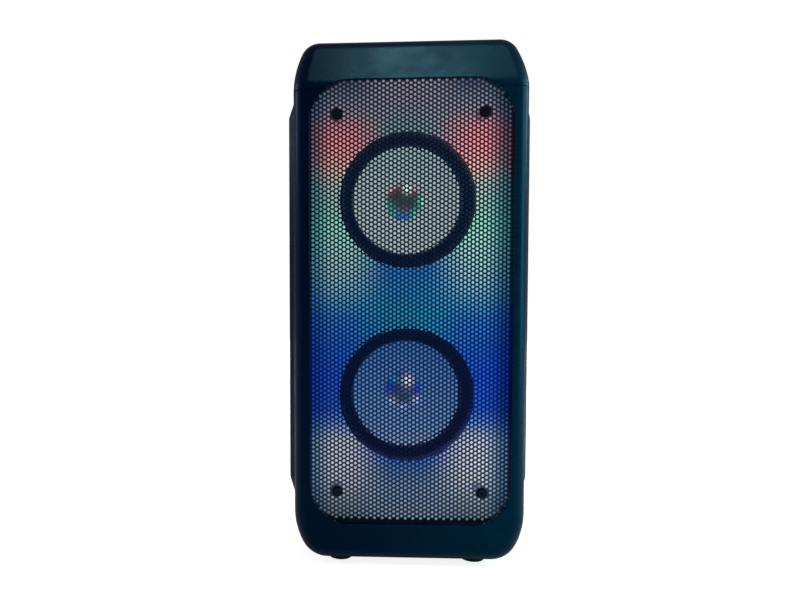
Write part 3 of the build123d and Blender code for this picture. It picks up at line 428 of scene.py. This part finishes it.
rubber = finish_material(
    "surround_rubber", rgb(8, 9, 18), 0.4, grain=0.3 * MM, grain_depth=0.015 * MM, mottle=0.2,
    sockets={"Specular IOR Level": 0.35},
)
light_the_rubber(rubber)
copper = finish_material(
    "enamelled_copper", rgb(196, 110, 52), 0.28, grain=0.2 * MM, grain_depth=0.03 * MM, metallic=0.9,
)
zinc = finish_material(
    "zinc_plate", rgb(178, 176, 166), 0.34, grain=0.5 * MM, grain_depth=0.01 * MM, metallic=1.0,
    mottle_size=6 * MM,
)
ferrite = finish_material("ground_ferrite", rgb(54, 54, 58), 0.55, grain=0.3 * MM, grain_depth=0.03 * MM)
tinned_brass = finish_material(
    "tinned_brass", rgb(206, 184, 128), 0.3, grain=0.4 * MM, grain_depth=0.01 * MM, metallic=0.9,
)
control_gloss = finish_material(
    "control_gloss", rgb(14, 15, 20), 0.14, grain=1.5 * MM, grain_depth=0.004 * MM, mottle=0.15,
    roughness_spread=0.04,
)
button_rubber = finish_material(
    "button_rubber", rgb(30, 32, 38), 0.5, grain=0.35 * MM, grain_depth=0.03 * MM, wear=0.5,
)
switch_plastic = finish_material(
    "switch_plastic", rgb(40, 40, 42), 0.4, grain=0.4 * MM, grain_depth=0.02 * MM,
)
panel_plastic = finish_material(
    "panel_plastic", rgb(22, 26, 34), 0.5, grain=0.5 * MM, grain_depth=0.04 * MM, wear=0.3,
)
jack_nylon = finish_material("jack_nylon", rgb(18, 18, 20), 0.25, grain=0.6 * MM, grain_depth=0.01 * MM)
nickel = finish_material(
    "nickel_plate", rgb(206, 204, 198), 0.22, grain=0.5 * MM, grain_depth=0.008 * MM, metallic=1.0,
    mottle_size=5 * MM,
)
component_case = finish_material(
    "component_case", rgb(28, 28, 30), 0.4, grain=0.3 * MM, grain_depth=0.03 * MM,
)
holder_plastic = finish_material(
    "holder_plastic", rgb(20, 21, 24), 0.45, grain=0.5 * MM, grain_depth=0.04 * MM,
)
cell_wrap = finish_material(
    "cell_shrink_sleeve", rgb(34, 92, 178), 0.24, grain=2.5 * MM, grain_depth=0.02 * MM, mottle=0.1,
)
wire_jacket = finish_material("wire_jacket", rgb(150, 26, 28), 0.35, grain=0.6 * MM, grain_depth=0.01 * MM)
symbol_ink = finish_material(
    "symbol_ink", rgb(214, 216, 220), 0.5, grain=0.2 * MM, grain_depth=0.01 * MM, mottle=0.1,
    mottle_size=2 * MM,
)


def cone_material():
    """Pale satin cone, lit through by the lamps around it."""
    material = finish_material(
        "cone_plastic", rgb(150, 158, 166), 0.4, grain=0.5 * MM, grain_depth=0.03 * MM, mottle=0.05,
    )
    tree, shader, place = grain_shader(material)
    height, _ = height_and_side(tree, place)
    tree.links.new(glow_bands(tree, height, CONE_BANDS), shader.inputs["Emission Color"])
    shader.inputs["Emission Strength"].default_value = CONE_GLOW
    return material


LED_GLOW = 1.2


def led_material():
    """Clear epoxy in a white case, glowing."""
    material = finish_material(
        "led_lens", rgb(244, 244, 232), 0.2, grain=0.5 * MM, grain_depth=0.01 * MM, mottle=0.04,
    )
    shader = material.node_tree.nodes["Principled BSDF"]
    shader.inputs["Emission Color"].default_value = rgb(235, 240, 255)
    shader.inputs["Emission Strength"].default_value = LED_GLOW
    return material


THREAD_SCALE = 300.0


def spider_material():
    """Resin-stiffened cloth: two crossed sets of threads."""
    material = finish_material(
        "spider_cloth", rgb(206, 176, 112), 0.75, grain=0.5 * MM, grain_depth=0.05 * MM, mottle=0.15,
    )
    tree, shader, place = grain_shader(material)
    threads = {"Vector": place, "Scale": THREAD_SCALE}
    warp = add_node(tree, "ShaderNodeTexWave", threads, bands_direction="X").outputs["Fac"]
    weft = add_node(tree, "ShaderNodeTexWave", threads, bands_direction="Z").outputs["Fac"]
    weave = math_node(tree, "MAXIMUM", warp, weft)
    bump = add_node(tree, "ShaderNodeBump", {"Height": weave, "Strength": 0.7, "Distance": 0.12 * MM})
    tree.links.new(bump.outputs["Normal"], shader.inputs["Normal"])
    return material


# Painted reflections of the lamps on each dust cap, as soft spots of colour: across, up and radius in
# millimetres, and display colour.
CAP_PAINTED_REFLECTIONS = {
    "upper": [
        (-10.5, 10, 3.6, (235, 70, 90)), (10.0, 11, 3.6, (235, 80, 70)), (2.0, 9, 3.4, (245, 250, 255)),
        (12.0, 0, 3.8, (60, 215, 160)), (-12.0, -2, 3.8, (40, 170, 140)), (0, -11, 4.2, (20, 120, 225)),
        (7.5, -8, 3.2, (60, 190, 175)), (-7.5, -8, 3.2, (50, 170, 170)),
    ],
    "lower": [
        (-11.0, 2, 3.4, (20, 50, 225)), (11.0, 2, 3.4, (10, 60, 225)), (-7.0, 8.5, 2.8, (20, 165, 190)),
        (3.0, 7.5, 4.2, (240, 236, 236)), (-8.5, -8, 3.8, (170, 172, 176)), (9.0, -7, 3.8, (180, 180, 182)),
        (0, -12, 3.4, (150, 165, 195)),
    ],
}
CAP_REFLECTION_STRENGTH = 1.05


def cap_material(driver):
    """Mirror dome with the ring of lamps round it painted on as reflections: soft spots of colour near its
    edge.
    """
    material = finish_material(
        f"{driver}_cap_chrome", rgb(190, 196, 206), 0.08, grain=1.2 * MM, grain_depth=0.002 * MM,
        mottle=0.02, roughness_spread=0.02, metallic=1.0,
    )
    tree, shader, place = grain_shader(material)
    parts = add_node(tree, "ShaderNodeSeparateXYZ", {0: place}).outputs
    total = (0.0, 0.0, 0.0)
    for x, z, radius, colour in CAP_PAINTED_REFLECTIONS[driver]:
        across = math_node(tree, "DIVIDE", math_node(tree, "SUBTRACT", parts["X"], x * MM), radius * MM)
        rise = math_node(tree, "SUBTRACT", parts["Z"], DRIVER_Z[driver] + z * MM)
        up = math_node(tree, "DIVIDE", rise, radius * MM)
        squared = math_node(
            tree, "ADD", math_node(tree, "MULTIPLY", across, across), math_node(tree, "MULTIPLY", up, up)
        )
        level = math_node(tree, "EXPONENT", math_node(tree, "MULTIPLY", squared, -1.0))
        spot = {0: rgb(*colour)[:3], "Scale": level}
        tint = add_node(tree, "ShaderNodeVectorMath", spot, operation="SCALE").outputs[0]
        total = vector_node(tree, "ADD", tint, total)
    # The painted reflections go in as emission.
    tree.links.new(total, shader.inputs["Emission Color"])
    shader.inputs["Emission Strength"].default_value = CAP_REFLECTION_STRENGTH
    return material


cap_chromes = {driver: cap_material(driver) for driver in DRIVER_Z}
milky = light_panel_material()
cone_plastic = cone_material()
led_lens = led_material()
spider_cloth = spider_material()

# ================================================================ CAD nodes that keep their shape
NODE_FINISHES = {
    housing: ["front_frame", "rear_shell", "top_cap"],
    pad: ["side_panel_left", "side_panel_right"],
    foot_rubber: ["feet"],
    black_screw: ["case_screws", "grille_screws", "upper_driver_screws", "lower_driver_screws"],
    white_plastic: ["baffle"],
    milky: ["light_panel"],
    board_laminate: ["led_board"],
    led_lens: ["leds"],
    basket_paint: ["upper_basket", "lower_basket"],
    copper: ["upper_voice_coil", "lower_voice_coil"],
    zinc: ["upper_top_plate", "lower_top_plate", "upper_yoke", "lower_yoke"],
    ferrite: ["upper_magnet", "lower_magnet"],
    tinned_brass: ["upper_terminals", "lower_terminals"],
    control_gloss: ["control_panel"],
    green_board: ["control_board", "main_board"],
    button_rubber: [f"{button}_button" for button in ("mode", "previous", "play", "next", "light", "mic")],
    switch_plastic: ["button_switches", "switch_housing", "power_slider"],
    panel_plastic: ["socket_panel", "port_tube"],
    jack_nylon: ["mic_jack", "aux_jack"],
    nickel: ["usb_socket", "card_slot", "charge_socket"],
    component_case: ["board_components"],
    holder_plastic: ["battery_holder"],
    cell_wrap: ["battery_cells"],
    wire_jacket: ["wire_harness"],
}
for material, names in NODE_FINISHES.items():
    for name in names:
        nodes[name].data.materials.clear()
        nodes[name].data.materials.append(material)


# ================================================================ new pieces
def add_piece(name, points, faces, material, body, replaced=(), smooth_below=40):
    """A mesh object in the frame, riding on a body, that stands for CAD nodes."""
    mesh = bpy.data.meshes.new(name)
    mesh.from_pydata([tuple(point) for point in points], [], faces)
    mesh.validate()
    mesh.materials.append(material)
    mesh.shade_smooth()
    mesh.set_sharp_from_angle(angle=radians(smooth_below))
    piece = bpy.data.objects.new(name, mesh)
    bpy.context.scene.collection.objects.link(piece)
    if body:
        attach(piece, body)
    if replaced:
        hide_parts(*replaced)
    return piece


# ---------------------------------------------------------------- grille
def rounded_distance(x, z):
    """How far a point of the sheet lies inside its rounded outline; negative outside."""
    half_width = (GRILLE_HIGH.x - GRILLE_LOW.x) / 2 - SHEET_OUTLINE_RADIUS
    half_height = (GRILLE_HIGH.z - GRILLE_LOW.z) / 2 - SHEET_OUTLINE_RADIUS
    across = abs(x) - half_width
    up = abs(z - OPENING_Z) - half_height
    outside = hypot(max(across, 0), max(up, 0))
    return SHEET_OUTLINE_RADIUS - outside - min(max(across, up), 0)


def sheet_outline():
    """Points round the sheet's outline, close together in the corners."""
    half_width = (GRILLE_HIGH.x - GRILLE_LOW.x) / 2 - SHEET_OUTLINE_RADIUS
    half_height = (GRILLE_HIGH.z - GRILLE_LOW.z) / 2 - SHEET_OUTLINE_RADIUS
    corners = [(1, 1, 0), (-1, 1, 90), (-1, -1, 180), (1, -1, 270)]
    points = []
    for side, rise, start in corners:
        for step in range(CORNER_STEPS + 1):
            angle = radians(start + 90 * step / CORNER_STEPS)
            x = side * half_width + SHEET_OUTLINE_RADIUS * cos(angle)
            z = OPENING_Z + rise * half_height + SHEET_OUTLINE_RADIUS * sin(angle)
            points.append((x, z))
    return subdivide_loop(points, LONGEST_EDGE)


def subdivide_loop(points, longest):
    """The loop's points with more put in wherever two are too far apart."""
    finer = []
    for (x, z), (next_x, next_z) in zip(points, points[1:] + points[:1]):
        count = max(1, round(hypot(next_x - x, next_z - z) / longest))
        for step in range(count):
            finer.append((x + (next_x - x) * step / count, z + (next_z - z) * step / count))
    return finer


def screw_distance(x, z):
    """Distance from the nearest grille screw."""
    return min(hypot(x - screw_x, z - screw_z) for screw_x, screw_z in SCREW_POINTS)


def cell_centre(column, row):
    """Middle of one cell of the staggered hole pattern."""
    return (column * COLUMN_STEP, OPENING_Z + (row + (column % 2) / 2) * HOLE_PITCH)


def cell_is_punched(column, row):
    """Whether this cell of the pattern has a hole in it."""
    x, z = cell_centre(column, row)
    rim = CELL_RADIUS + LEAST_METAL
    low_enough = z < GRILLE_HIGH.z - TOP_RIM - rim
    high_enough = z > GRILLE_LOW.z + BOTTOM_RIM + HOLE_RADIUS
    clear_of_screw = screw_distance(x, z) > PUNCH_CLEARANCE
    return rounded_distance(x, z) > rim and low_enough and high_enough and clear_of_screw


def nearest_cell(x, z):
    """The cell that a point lies in."""
    column = round(x / COLUMN_STEP)
    best = None
    for near_column in (column - 1, column, column + 1):
        row = round((z - OPENING_Z) / HOLE_PITCH - (near_column % 2) / 2)
        cell_x, cell_z = cell_centre(near_column, row)
        gap = hypot(x - cell_x, z - cell_z)
        if best is None or gap < best[0]:
            best = (gap, near_column, row)
    return best[1], best[2]


def sheet_depth(x, z):
    """Depth of the sheet's front face: bowed, with a pressed dimple at every screw."""
    if abs(x) < CROWN_HALF_SPAN:
        depth = FLAT_Y - CROWN + CROWN_RADIUS - sqrt(CROWN_RADIUS**2 - x**2)
    else:
        depth = FLAT_Y
    share = (screw_distance(x, z) - DIMPLE_FLOOR_RADIUS) / (DIMPLE_EDGE_RADIUS - DIMPLE_FLOOR_RADIUS)
    share = min(1.0, max(0.0, share))
    return depth + DIMPLE_DEPTH * (1 - share * share * (3 - 2 * share))


def punched_cells():
    """The cells of the hole pattern that have a hole."""
    return {(column, row) for column in COLUMNS for row in ROWS if cell_is_punched(column, row)}


def ring_points(x, z, radius, count):
    """Evenly spaced points of a circle."""
    turns = [2 * pi * step / count for step in range(count)]
    return [(x + radius * cos(turn), z + radius * sin(turn)) for turn in turns]


class SheetPlan:
    """The sheet laid flat: points, and faces each with the height it is sorted by."""

    def __init__(self):
        self.points = []
        self.faces = []
        self.index_of = {}

    def vertex(self, x, z):
        """The number of the point at this place, made if it isn't there."""
        key = (round(x * POINT_KEYS_PER_METRE), round(z * POINT_KEYS_PER_METRE))
        if key not in self.index_of:
            self.index_of[key] = len(self.points)
            self.points.append((x, z))
        return self.index_of[key]

    def add_punched(self, punched):
        """A ring of metal round every hole, and the edges that no two rings share."""
        per_side = HOLE_SIDES // 6
        uses = {}
        for column, row in sorted(punched):
            x, z = cell_centre(column, row)
            corners = [self.vertex(*corner) for corner in ring_points(x, z, CELL_RADIUS, 6)]
            first = len(self.points)
            self.points.extend(ring_points(x, z, HOLE_RADIUS, HOLE_SIDES))
            for side in range(6):
                start, end = corners[side], corners[(side + 1) % 6]
                arc = [first + (per_side * side + step) % HOLE_SIDES for step in range(per_side, -1, -1)]
                self.faces.append((z, [start, end] + arc))
                edge = (min(start, end), max(start, end))
                uses[edge] = uses.get(edge, 0) + 1
        return [edge for edge, count in uses.items() if count == 1]

    def add_plain(self, open_edges, punched):
        """Triangles between the punched cells, the outline and the screw holes."""
        edges = list(open_edges)
        ties = {corner for edge in open_edges for corner in edge}
        loops = [sheet_outline()]
        loops.extend(ring_points(x, z, SCREW_HOLE_RADIUS, SCREW_HOLE_SIDES) for x, z in SCREW_POINTS)
        for points in loops:
            loop = [self.vertex(x, z) for x, z in points]
            ties.update(loop)
            edges.extend(zip(loop, loop[1:] + loop[:1]))
        for screw_x, screw_z in SCREW_POINTS:
            for radius, count in DIMPLE_RINGS:
                for x, z in ring_points(screw_x, screw_z, radius, count):
                    if nearest_cell(x, z) not in punched:
                        ties.add(self.vertex(x, z))
        order = sorted(ties)
        local = {index: place for place, index in enumerate(order)}
        points, _, triangles, origins, _, _ = delaunay_2d_cdt(
            [Vector(self.points[index]) for index in order],
            [(local[start], local[end]) for start, end in edges], [], 0, MERGE_DISTANCE,
        )
        placed = [
            order[source[0]] if source else self.vertex(*point) for point, source in zip(points, origins)
        ]
        for triangle in triangles:
            x = sum(points[corner].x for corner in triangle) / 3
            z = sum(points[corner].y for corner in triangle) / 3
            past_screw_hole = screw_distance(x, z) > SCREW_HOLE_RADIUS * INSIDE_HOLE
            on_metal = rounded_distance(x, z) > 0 and past_screw_hole
            if on_metal and nearest_cell(x, z) not in punched:
                self.faces.append((z, [placed[corner] for corner in triangle]))


def solid_sheet(name, plan, faces):
    """The faces given thickness: bowed front, back, and a wall along every open edge."""
    used = sorted({corner for face in faces for corner in face})
    local = {index: place for place, index in enumerate(used)}
    fronts = [(x, sheet_depth(x, z), z) for x, z in (plan.points[index] for index in used)]
    backs = [(x, y + SHEET_THICKNESS, z) for x, y, z in fronts]
    count = len(fronts)
    front_faces = [[local[corner] for corner in face] for face in faces]
    directed = {(start, end) for face in front_faces for start, end in zip(face, face[1:] + face[:1])}
    open_edges = [(start, end) for start, end in sorted(directed) if (end, start) not in directed]
    walls = [[start, start + count, end + count, end] for start, end in open_edges]
    back_faces = [[corner + count for corner in reversed(face)] for face in front_faces]
    add_piece(
        name, fronts + backs, front_faces + back_faces + walls, grille_paint,
        "cabinet", ["grille"],
    )


def make_grille():
    """The perforated sheet, in two halves so that neither has too many faces."""
    punched = punched_cells()
    plan = SheetPlan()
    open_edges = plan.add_punched(punched)
    plan.add_plain(open_edges, punched)
    parting_z = OPENING_Z + HOLE_PITCH / 4
    upper = [face for height, face in plan.faces if height > parting_z]
    lower = [face for height, face in plan.faces if height <= parting_z]
    solid_sheet("grille_sheet_upper", plan, upper)
    solid_sheet("grille_sheet_lower", plan, lower)


make_grille()


# ---------------------------------------------------------------- turned driver pieces
def arc_points(start, middle, end, count):
    """Points along the circle's arc through three (radius, depth) points."""
    ax, ay, bx, by, cx, cy = *start, *middle, *end
    turn = 2 * (ax * (by - cy) + bx * (cy - ay) + cx * (ay - by))
    a_square, b_square, c_square = ax * ax + ay * ay, bx * bx + by * by, cx * cx + cy * cy
    centre_x = (a_square * (by - cy) + b_square * (cy - ay) + c_square * (ay - by)) / turn
    centre_y = (a_square * (cx - bx) + b_square * (ax - cx) + c_square * (bx - ax)) / turn
    radius = hypot(ax - centre_x, ay - centre_y)
    first, through, last = (atan2(y - centre_y, x - centre_x) for x, y in (start, middle, end))
    sweep = (last - first) % (2 * pi)
    if (through - first) % (2 * pi) > sweep:
        sweep -= 2 * pi
    angles = [first + sweep * step / count for step in range(count + 1)]
    return [(centre_x + radius * cos(angle), centre_y + radius * sin(angle)) for angle in angles]


ON_AXIS = 1e-6


def turned_piece(name, driver, outline, material, body, replaced, steps=128):
    """An outline of (radius, depth) points, in millimetres, spun about a driver's axis."""
    centre_z = DRIVER_Z[driver]
    points, rings, faces = [], [], []
    for radius, depth in outline:
        if radius < ON_AXIS:
            rings.append([len(points)] * steps)
            points.append((0, depth * MM, centre_z))
            continue
        rings.append(list(range(len(points), len(points) + steps)))
        points.extend((x, depth * MM, z) for x, z in ring_points(0, centre_z, radius * MM, steps))
    for ring, next_ring in zip(rings, rings[1:] + rings[:1]):
        for step in range(steps):
            following = (step + 1) % steps
            face = [ring[step], ring[following], next_ring[following], next_ring[step]]
            face = [corner for place, corner in enumerate(face) if corner not in face[:place]]
            if len(face) > 2:
                faces.append(face)
    piece = add_piece(name, points, faces, material, body, replaced)
    shell = bmesh.new()
    shell.from_mesh(piece.data)
    bmesh.ops.recalc_face_normals(shell, faces=shell.faces)
    shell.to_mesh(piece.data)
    shell.free()
    return piece


def bend_with_cone(piece):
    """Bake a ring's placement into its mesh; the ring is not bent to follow the cone."""
    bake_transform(piece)


def make_cone(driver):
    """Flared cone with a rolled bead where the surround is glued on."""
    front = arc_points((12.8, -29.6), (24.0, -38.7), (35.6, -45.65), 40)
    bead = arc_points((35.6, -45.65), (36.4, -46.05), (37.1, -45.7), 6)[1:]
    back = arc_points((36.4, -45.0), (24.2, -37.8), (12.8, -28.6), 24)
    turned_piece(
        f"{driver}_cone_body", driver, front + bead + [(37.1, -45.0)] + back, cone_plastic,
        f"{driver}_diaphragm", [f"{driver}_cone"],
    )


def make_dust_cap(driver):
    """Mirror-bright dome with a narrow glued rim."""
    outside = arc_points((13.8, -31.05), (7.0, -34.44), (0.0, -35.5), 40)
    inside = arc_points((0.0, -34.9), (6.9, -33.8), (13.0, -30.9), 24)
    turned_piece(
        f"{driver}_cap_dome", driver, [(14.0, -30.9)] + outside + inside, cap_chromes[driver],
        f"{driver}_diaphragm", [f"{driver}_dust_cap"],
    )


def make_surround(driver):
    """Rubber half-roll between two flat lands."""
    front = arc_points((37.5, -46.15), (41.9, -50.55), (46.3, -46.15), 28)
    back = arc_points((45.4, -45.25), (41.9, -49.65), (38.4, -45.25), 28)
    outer_land = [(48.3, -46.15), (48.6, -45.9), (48.6, -45.25)]
    outline = [(37.4, -46.0)] + front + outer_land + back + [(37.4, -45.25)]
    roll = turned_piece(
        f"{driver}_half_roll", driver, outline, rubber, None, [f"{driver}_surround"],
    )
    bend_with_cone(roll)


SPIDER_INNER, SPIDER_OUTER, SPIDER_DEPTH, SPIDER_THICKNESS = 13.3, 33.6, -27.55, 0.4
SPIDER_STEPS = 96
RIPPLES_START, RIPPLES_END = 14.1, 30.3
RIPPLE_HEIGHT, RIPPLE_PITCH = 0.45, 3.6
SPIDER_SLOPE = 0.9 / 3.3


def make_spider(driver):
    """Corrugated cloth disc behind the cone: rippled between two radii, then sloping to its glued edge."""
    front = []
    for step in range(SPIDER_STEPS + 1):
        radius = SPIDER_INNER + (SPIDER_OUTER - SPIDER_INNER) * step / SPIDER_STEPS
        in_ripples = RIPPLES_START < radius < RIPPLES_END
        ripple = RIPPLE_HEIGHT * sin(2 * pi * (radius - RIPPLES_START) / RIPPLE_PITCH) if in_ripples else 0.0
        slope = SPIDER_SLOPE * max(0.0, radius - RIPPLES_END)
        front.append((radius, SPIDER_DEPTH - ripple + slope))
    back = [(radius, depth + SPIDER_THICKNESS) for radius, depth in reversed(front)]
    cloth = turned_piece(
        f"{driver}_spider_disc", driver, front + back, spider_cloth, None,
        [f"{driver}_spider"],
    )
    bend_with_cone(cloth)


for driver_name in DRIVER_Z:
    make_cone(driver_name)
    make_dust_cap(driver_name)
    make_surround(driver_name)
    make_spider(driver_name)


# ---------------------------------------------------------------- symbols on the buttons
def bar(x, y, width, height):
    """The corners of an upright bar, in millimetres from the button's middle."""
    return [(x - width / 2, y - height / 2), (x + width / 2, y - height / 2),
            (x + width / 2, y + height / 2), (x - width / 2, y + height / 2)]


def arrow(x, pointing):
    """A triangle whose flat side is at x."""
    return [(x, -1.6 * pointing), (x + 2.2 * pointing, 0), (x, 1.6 * pointing)]


def ray(turn):
    """One short ray of the lamp symbol."""
    along, across = Vector((cos(turn), sin(turn))), Vector((-sin(turn), cos(turn)))
    corners = [(1.9, -0.22), (3.0, -0.22), (3.0, 0.22), (1.9, 0.22)]
    return [tuple(along * reach + across * offset) for reach, offset in corners]


def bow(y, radius, turns):
    """Points of an arc about a point straight above or below the button's middle."""
    return [(radius * cos(radians(turn)), y + radius * sin(radians(turn))) for turn in turns]


def half_loop():
    """The cradle round the microphone symbol's head."""
    return bow(0.5, 2.1, range(180, 361, 15)) + bow(0.5, 1.65, range(360, 179, -15))


def microphone_head():
    """A round-ended upright bar."""
    return bow(1.9, 1.1, range(0, 181, 20)) + bow(0.5, 1.1, range(180, 361, 20))


SYMBOLS = {
    "mode": [bar(0, 1.8, 5.0, 0.6), bar(0, 0, 5.0, 0.6), bar(0, -1.8, 5.0, 0.6)],
    "previous": [arrow(0.2, -1), arrow(2.6, -1), bar(-2.5, 0, 0.5, 3.2)],
    "play": [arrow(-2.8, 1), bar(0.6, 0, 0.7, 3.2), bar(2.2, 0, 0.7, 3.2)],
    "next": [arrow(-0.2, 1), arrow(-2.6, 1), bar(2.5, 0, 0.5, 3.2)],
    "light": [ring_points(0, 0, 1.3, 24)] + [ray(pi * step / 4) for step in range(8)],
    "mic": [microphone_head(), half_loop(), bar(0, -2.2, 0.45, 1.3), bar(0, -2.9, 2.4, 0.45)],
}
SYMBOL_HEIGHT = 0.08 * MM
SYMBOL_SINK = 0.02 * MM


def make_symbol(button, shapes):
    """Raised marks on top of one button."""
    low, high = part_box(f"{button}_button")
    middle_x, middle_y = (low.x + high.x) / 2, (low.y + high.y) / 2
    points, faces = [], []
    for shape in shapes:
        first, count = len(points), len(shape)
        for level in (high.z - SYMBOL_SINK, high.z + SYMBOL_HEIGHT):
            points.extend((middle_x + x * MM, middle_y + y * MM, level) for x, y in shape)
        faces.append([first + corner for corner in reversed(range(count))])
        faces.append([first + count + corner for corner in range(count)])
        for corner in range(count):
            low_pair = [first + corner, first + (corner + 1) % count]
            faces.append(low_pair + [low_pair[1] + count, low_pair[0] + count])
    add_piece(f"{button}_symbol", points, faces, symbol_ink, f"{button}_key")


for button_name, button_shapes in SYMBOLS.items():
    make_symbol(button_name, button_shapes)


# ================================================================ stage, lights and camera
FLOOR_GLOW = 0.85
FLOOR_REACH = 6
AMBIENT = 0.2


def make_floor():
    """A pale floor, wide enough to fill the view."""
    material = finish_material(
        "pale_floor", rgb(246, 246, 246), 0.6, grain=3 * MM, grain_depth=0.01 * MM, mottle=0.01,
        mottle_size=0.4,
    )
    tree, shader, _ = grain_shader(material)
    seen = add_node(tree, "ShaderNodeLightPath").outputs["Is Camera Ray"]
    tree.links.new(math_node(tree, "MULTIPLY", seen, FLOOR_GLOW), shader.inputs["Emission Strength"])
    shader.inputs["Emission Color"].default_value = (1, 1, 1, 1)
    mesh = bpy.data.meshes.new("studio_floor")
    corners = [(x * FLOOR_REACH, y * FLOOR_REACH, 0) for x, y in ((-1, -1), (1, -1), (1, 1), (-1, 1))]
    mesh.from_pydata(corners, [], [(0, 1, 2, 3)])
    mesh.materials.append(material)
    floor = bpy.data.objects.new("studio_floor", mesh)
    bpy.context.scene.collection.objects.link(floor)


def add_softbox(name, place, size, power, colour=(1, 1, 1)):
    """An area light that points at the middle of the object."""
    light = bpy.data.lights.new(name, "AREA")
    light.shape = "RECTANGLE"
    light.size, light.size_y = size
    light.energy = power
    light.color = colour
    holder = bpy.data.objects.new(name, light)
    holder.location = place
    holder.rotation_euler = (Vector((0, 0, OPENING_Z)) - Vector(place)).to_track_quat("-Z", "Y").to_euler()
    bpy.context.scene.collection.objects.link(holder)


def make_world():
    """White all round for the camera, and a dimmer even light on the object."""
    world = bpy.data.worlds.new("studio_world")
    world.use_nodes = True
    tree = world.node_tree
    tree.nodes.clear()
    seen = add_node(tree, "ShaderNodeLightPath").outputs["Is Camera Ray"]
    white = {"Color": (1, 1, 1, 1), "Strength": 1.0}
    dim = {"Color": (0.8, 0.92, 1, 1), "Strength": AMBIENT}
    backdrop = add_node(tree, "ShaderNodeBackground", white).outputs[0]
    ambient = add_node(tree, "ShaderNodeBackground", dim).outputs[0]
    mixed = add_node(tree, "ShaderNodeMixShader", {0: seen, 1: ambient, 2: backdrop}).outputs[0]
    add_node(tree, "ShaderNodeOutputWorld", {"Surface": mixed})
    bpy.context.scene.world = world


def make_camera():
    """The viewpoint: a little left of the middle, at a height between the two drivers."""
    camera = bpy.data.cameras.new("camera")
    camera.sensor_width = 36.0
    camera.lens = 31.54
    camera.shift_x = 0.1496
    camera.clip_start = 0.01
    holder = bpy.data.objects.new("camera", camera)
    forward = Vector((-0.0576, 0.9972, -0.0485)).normalized()
    level = Vector((0.9983, 0.0574, -0.0042)).normalized()
    right = (level - forward * level.dot(forward)).normalized()
    up = right.cross(forward)
    turned = Matrix((right, up, -forward)).transposed()
    holder.matrix_world = Matrix.Translation((-0.0601, -0.5402, 0.2053)) @ turned.to_4x4()
    bpy.context.scene.collection.objects.link(holder)
    bpy.context.scene.camera = holder


make_floor()
add_softbox("key_above", (0.157, -0.75, 1.44), (0.14, 0.3), 4.2, (1.0, 0.7, 0.55))
add_softbox("fill_right", (1.1, -0.35, 0.45), (0.4, 1.0), 4.6, (0.25, 0.95, 1.0))
add_softbox("fill_left", (-1.2, -0.2, 0.5), (0.5, 1.0), 0.9, (0.35, 0.6, 1.0))
add_softbox("back_wash", (0.1, 1.4, 0.3), (0.35, 0.6), 12.0)
add_softbox("side_right", (1.5, 0.35, 0.8), (0.25, 0.6), 3.0)
add_softbox("side_left", (-1.5, 0.35, 0.8), (0.25, 0.6), 2.0)
make_world()
make_camera()
bpy.context.scene.view_settings.view_transform = "Standard"
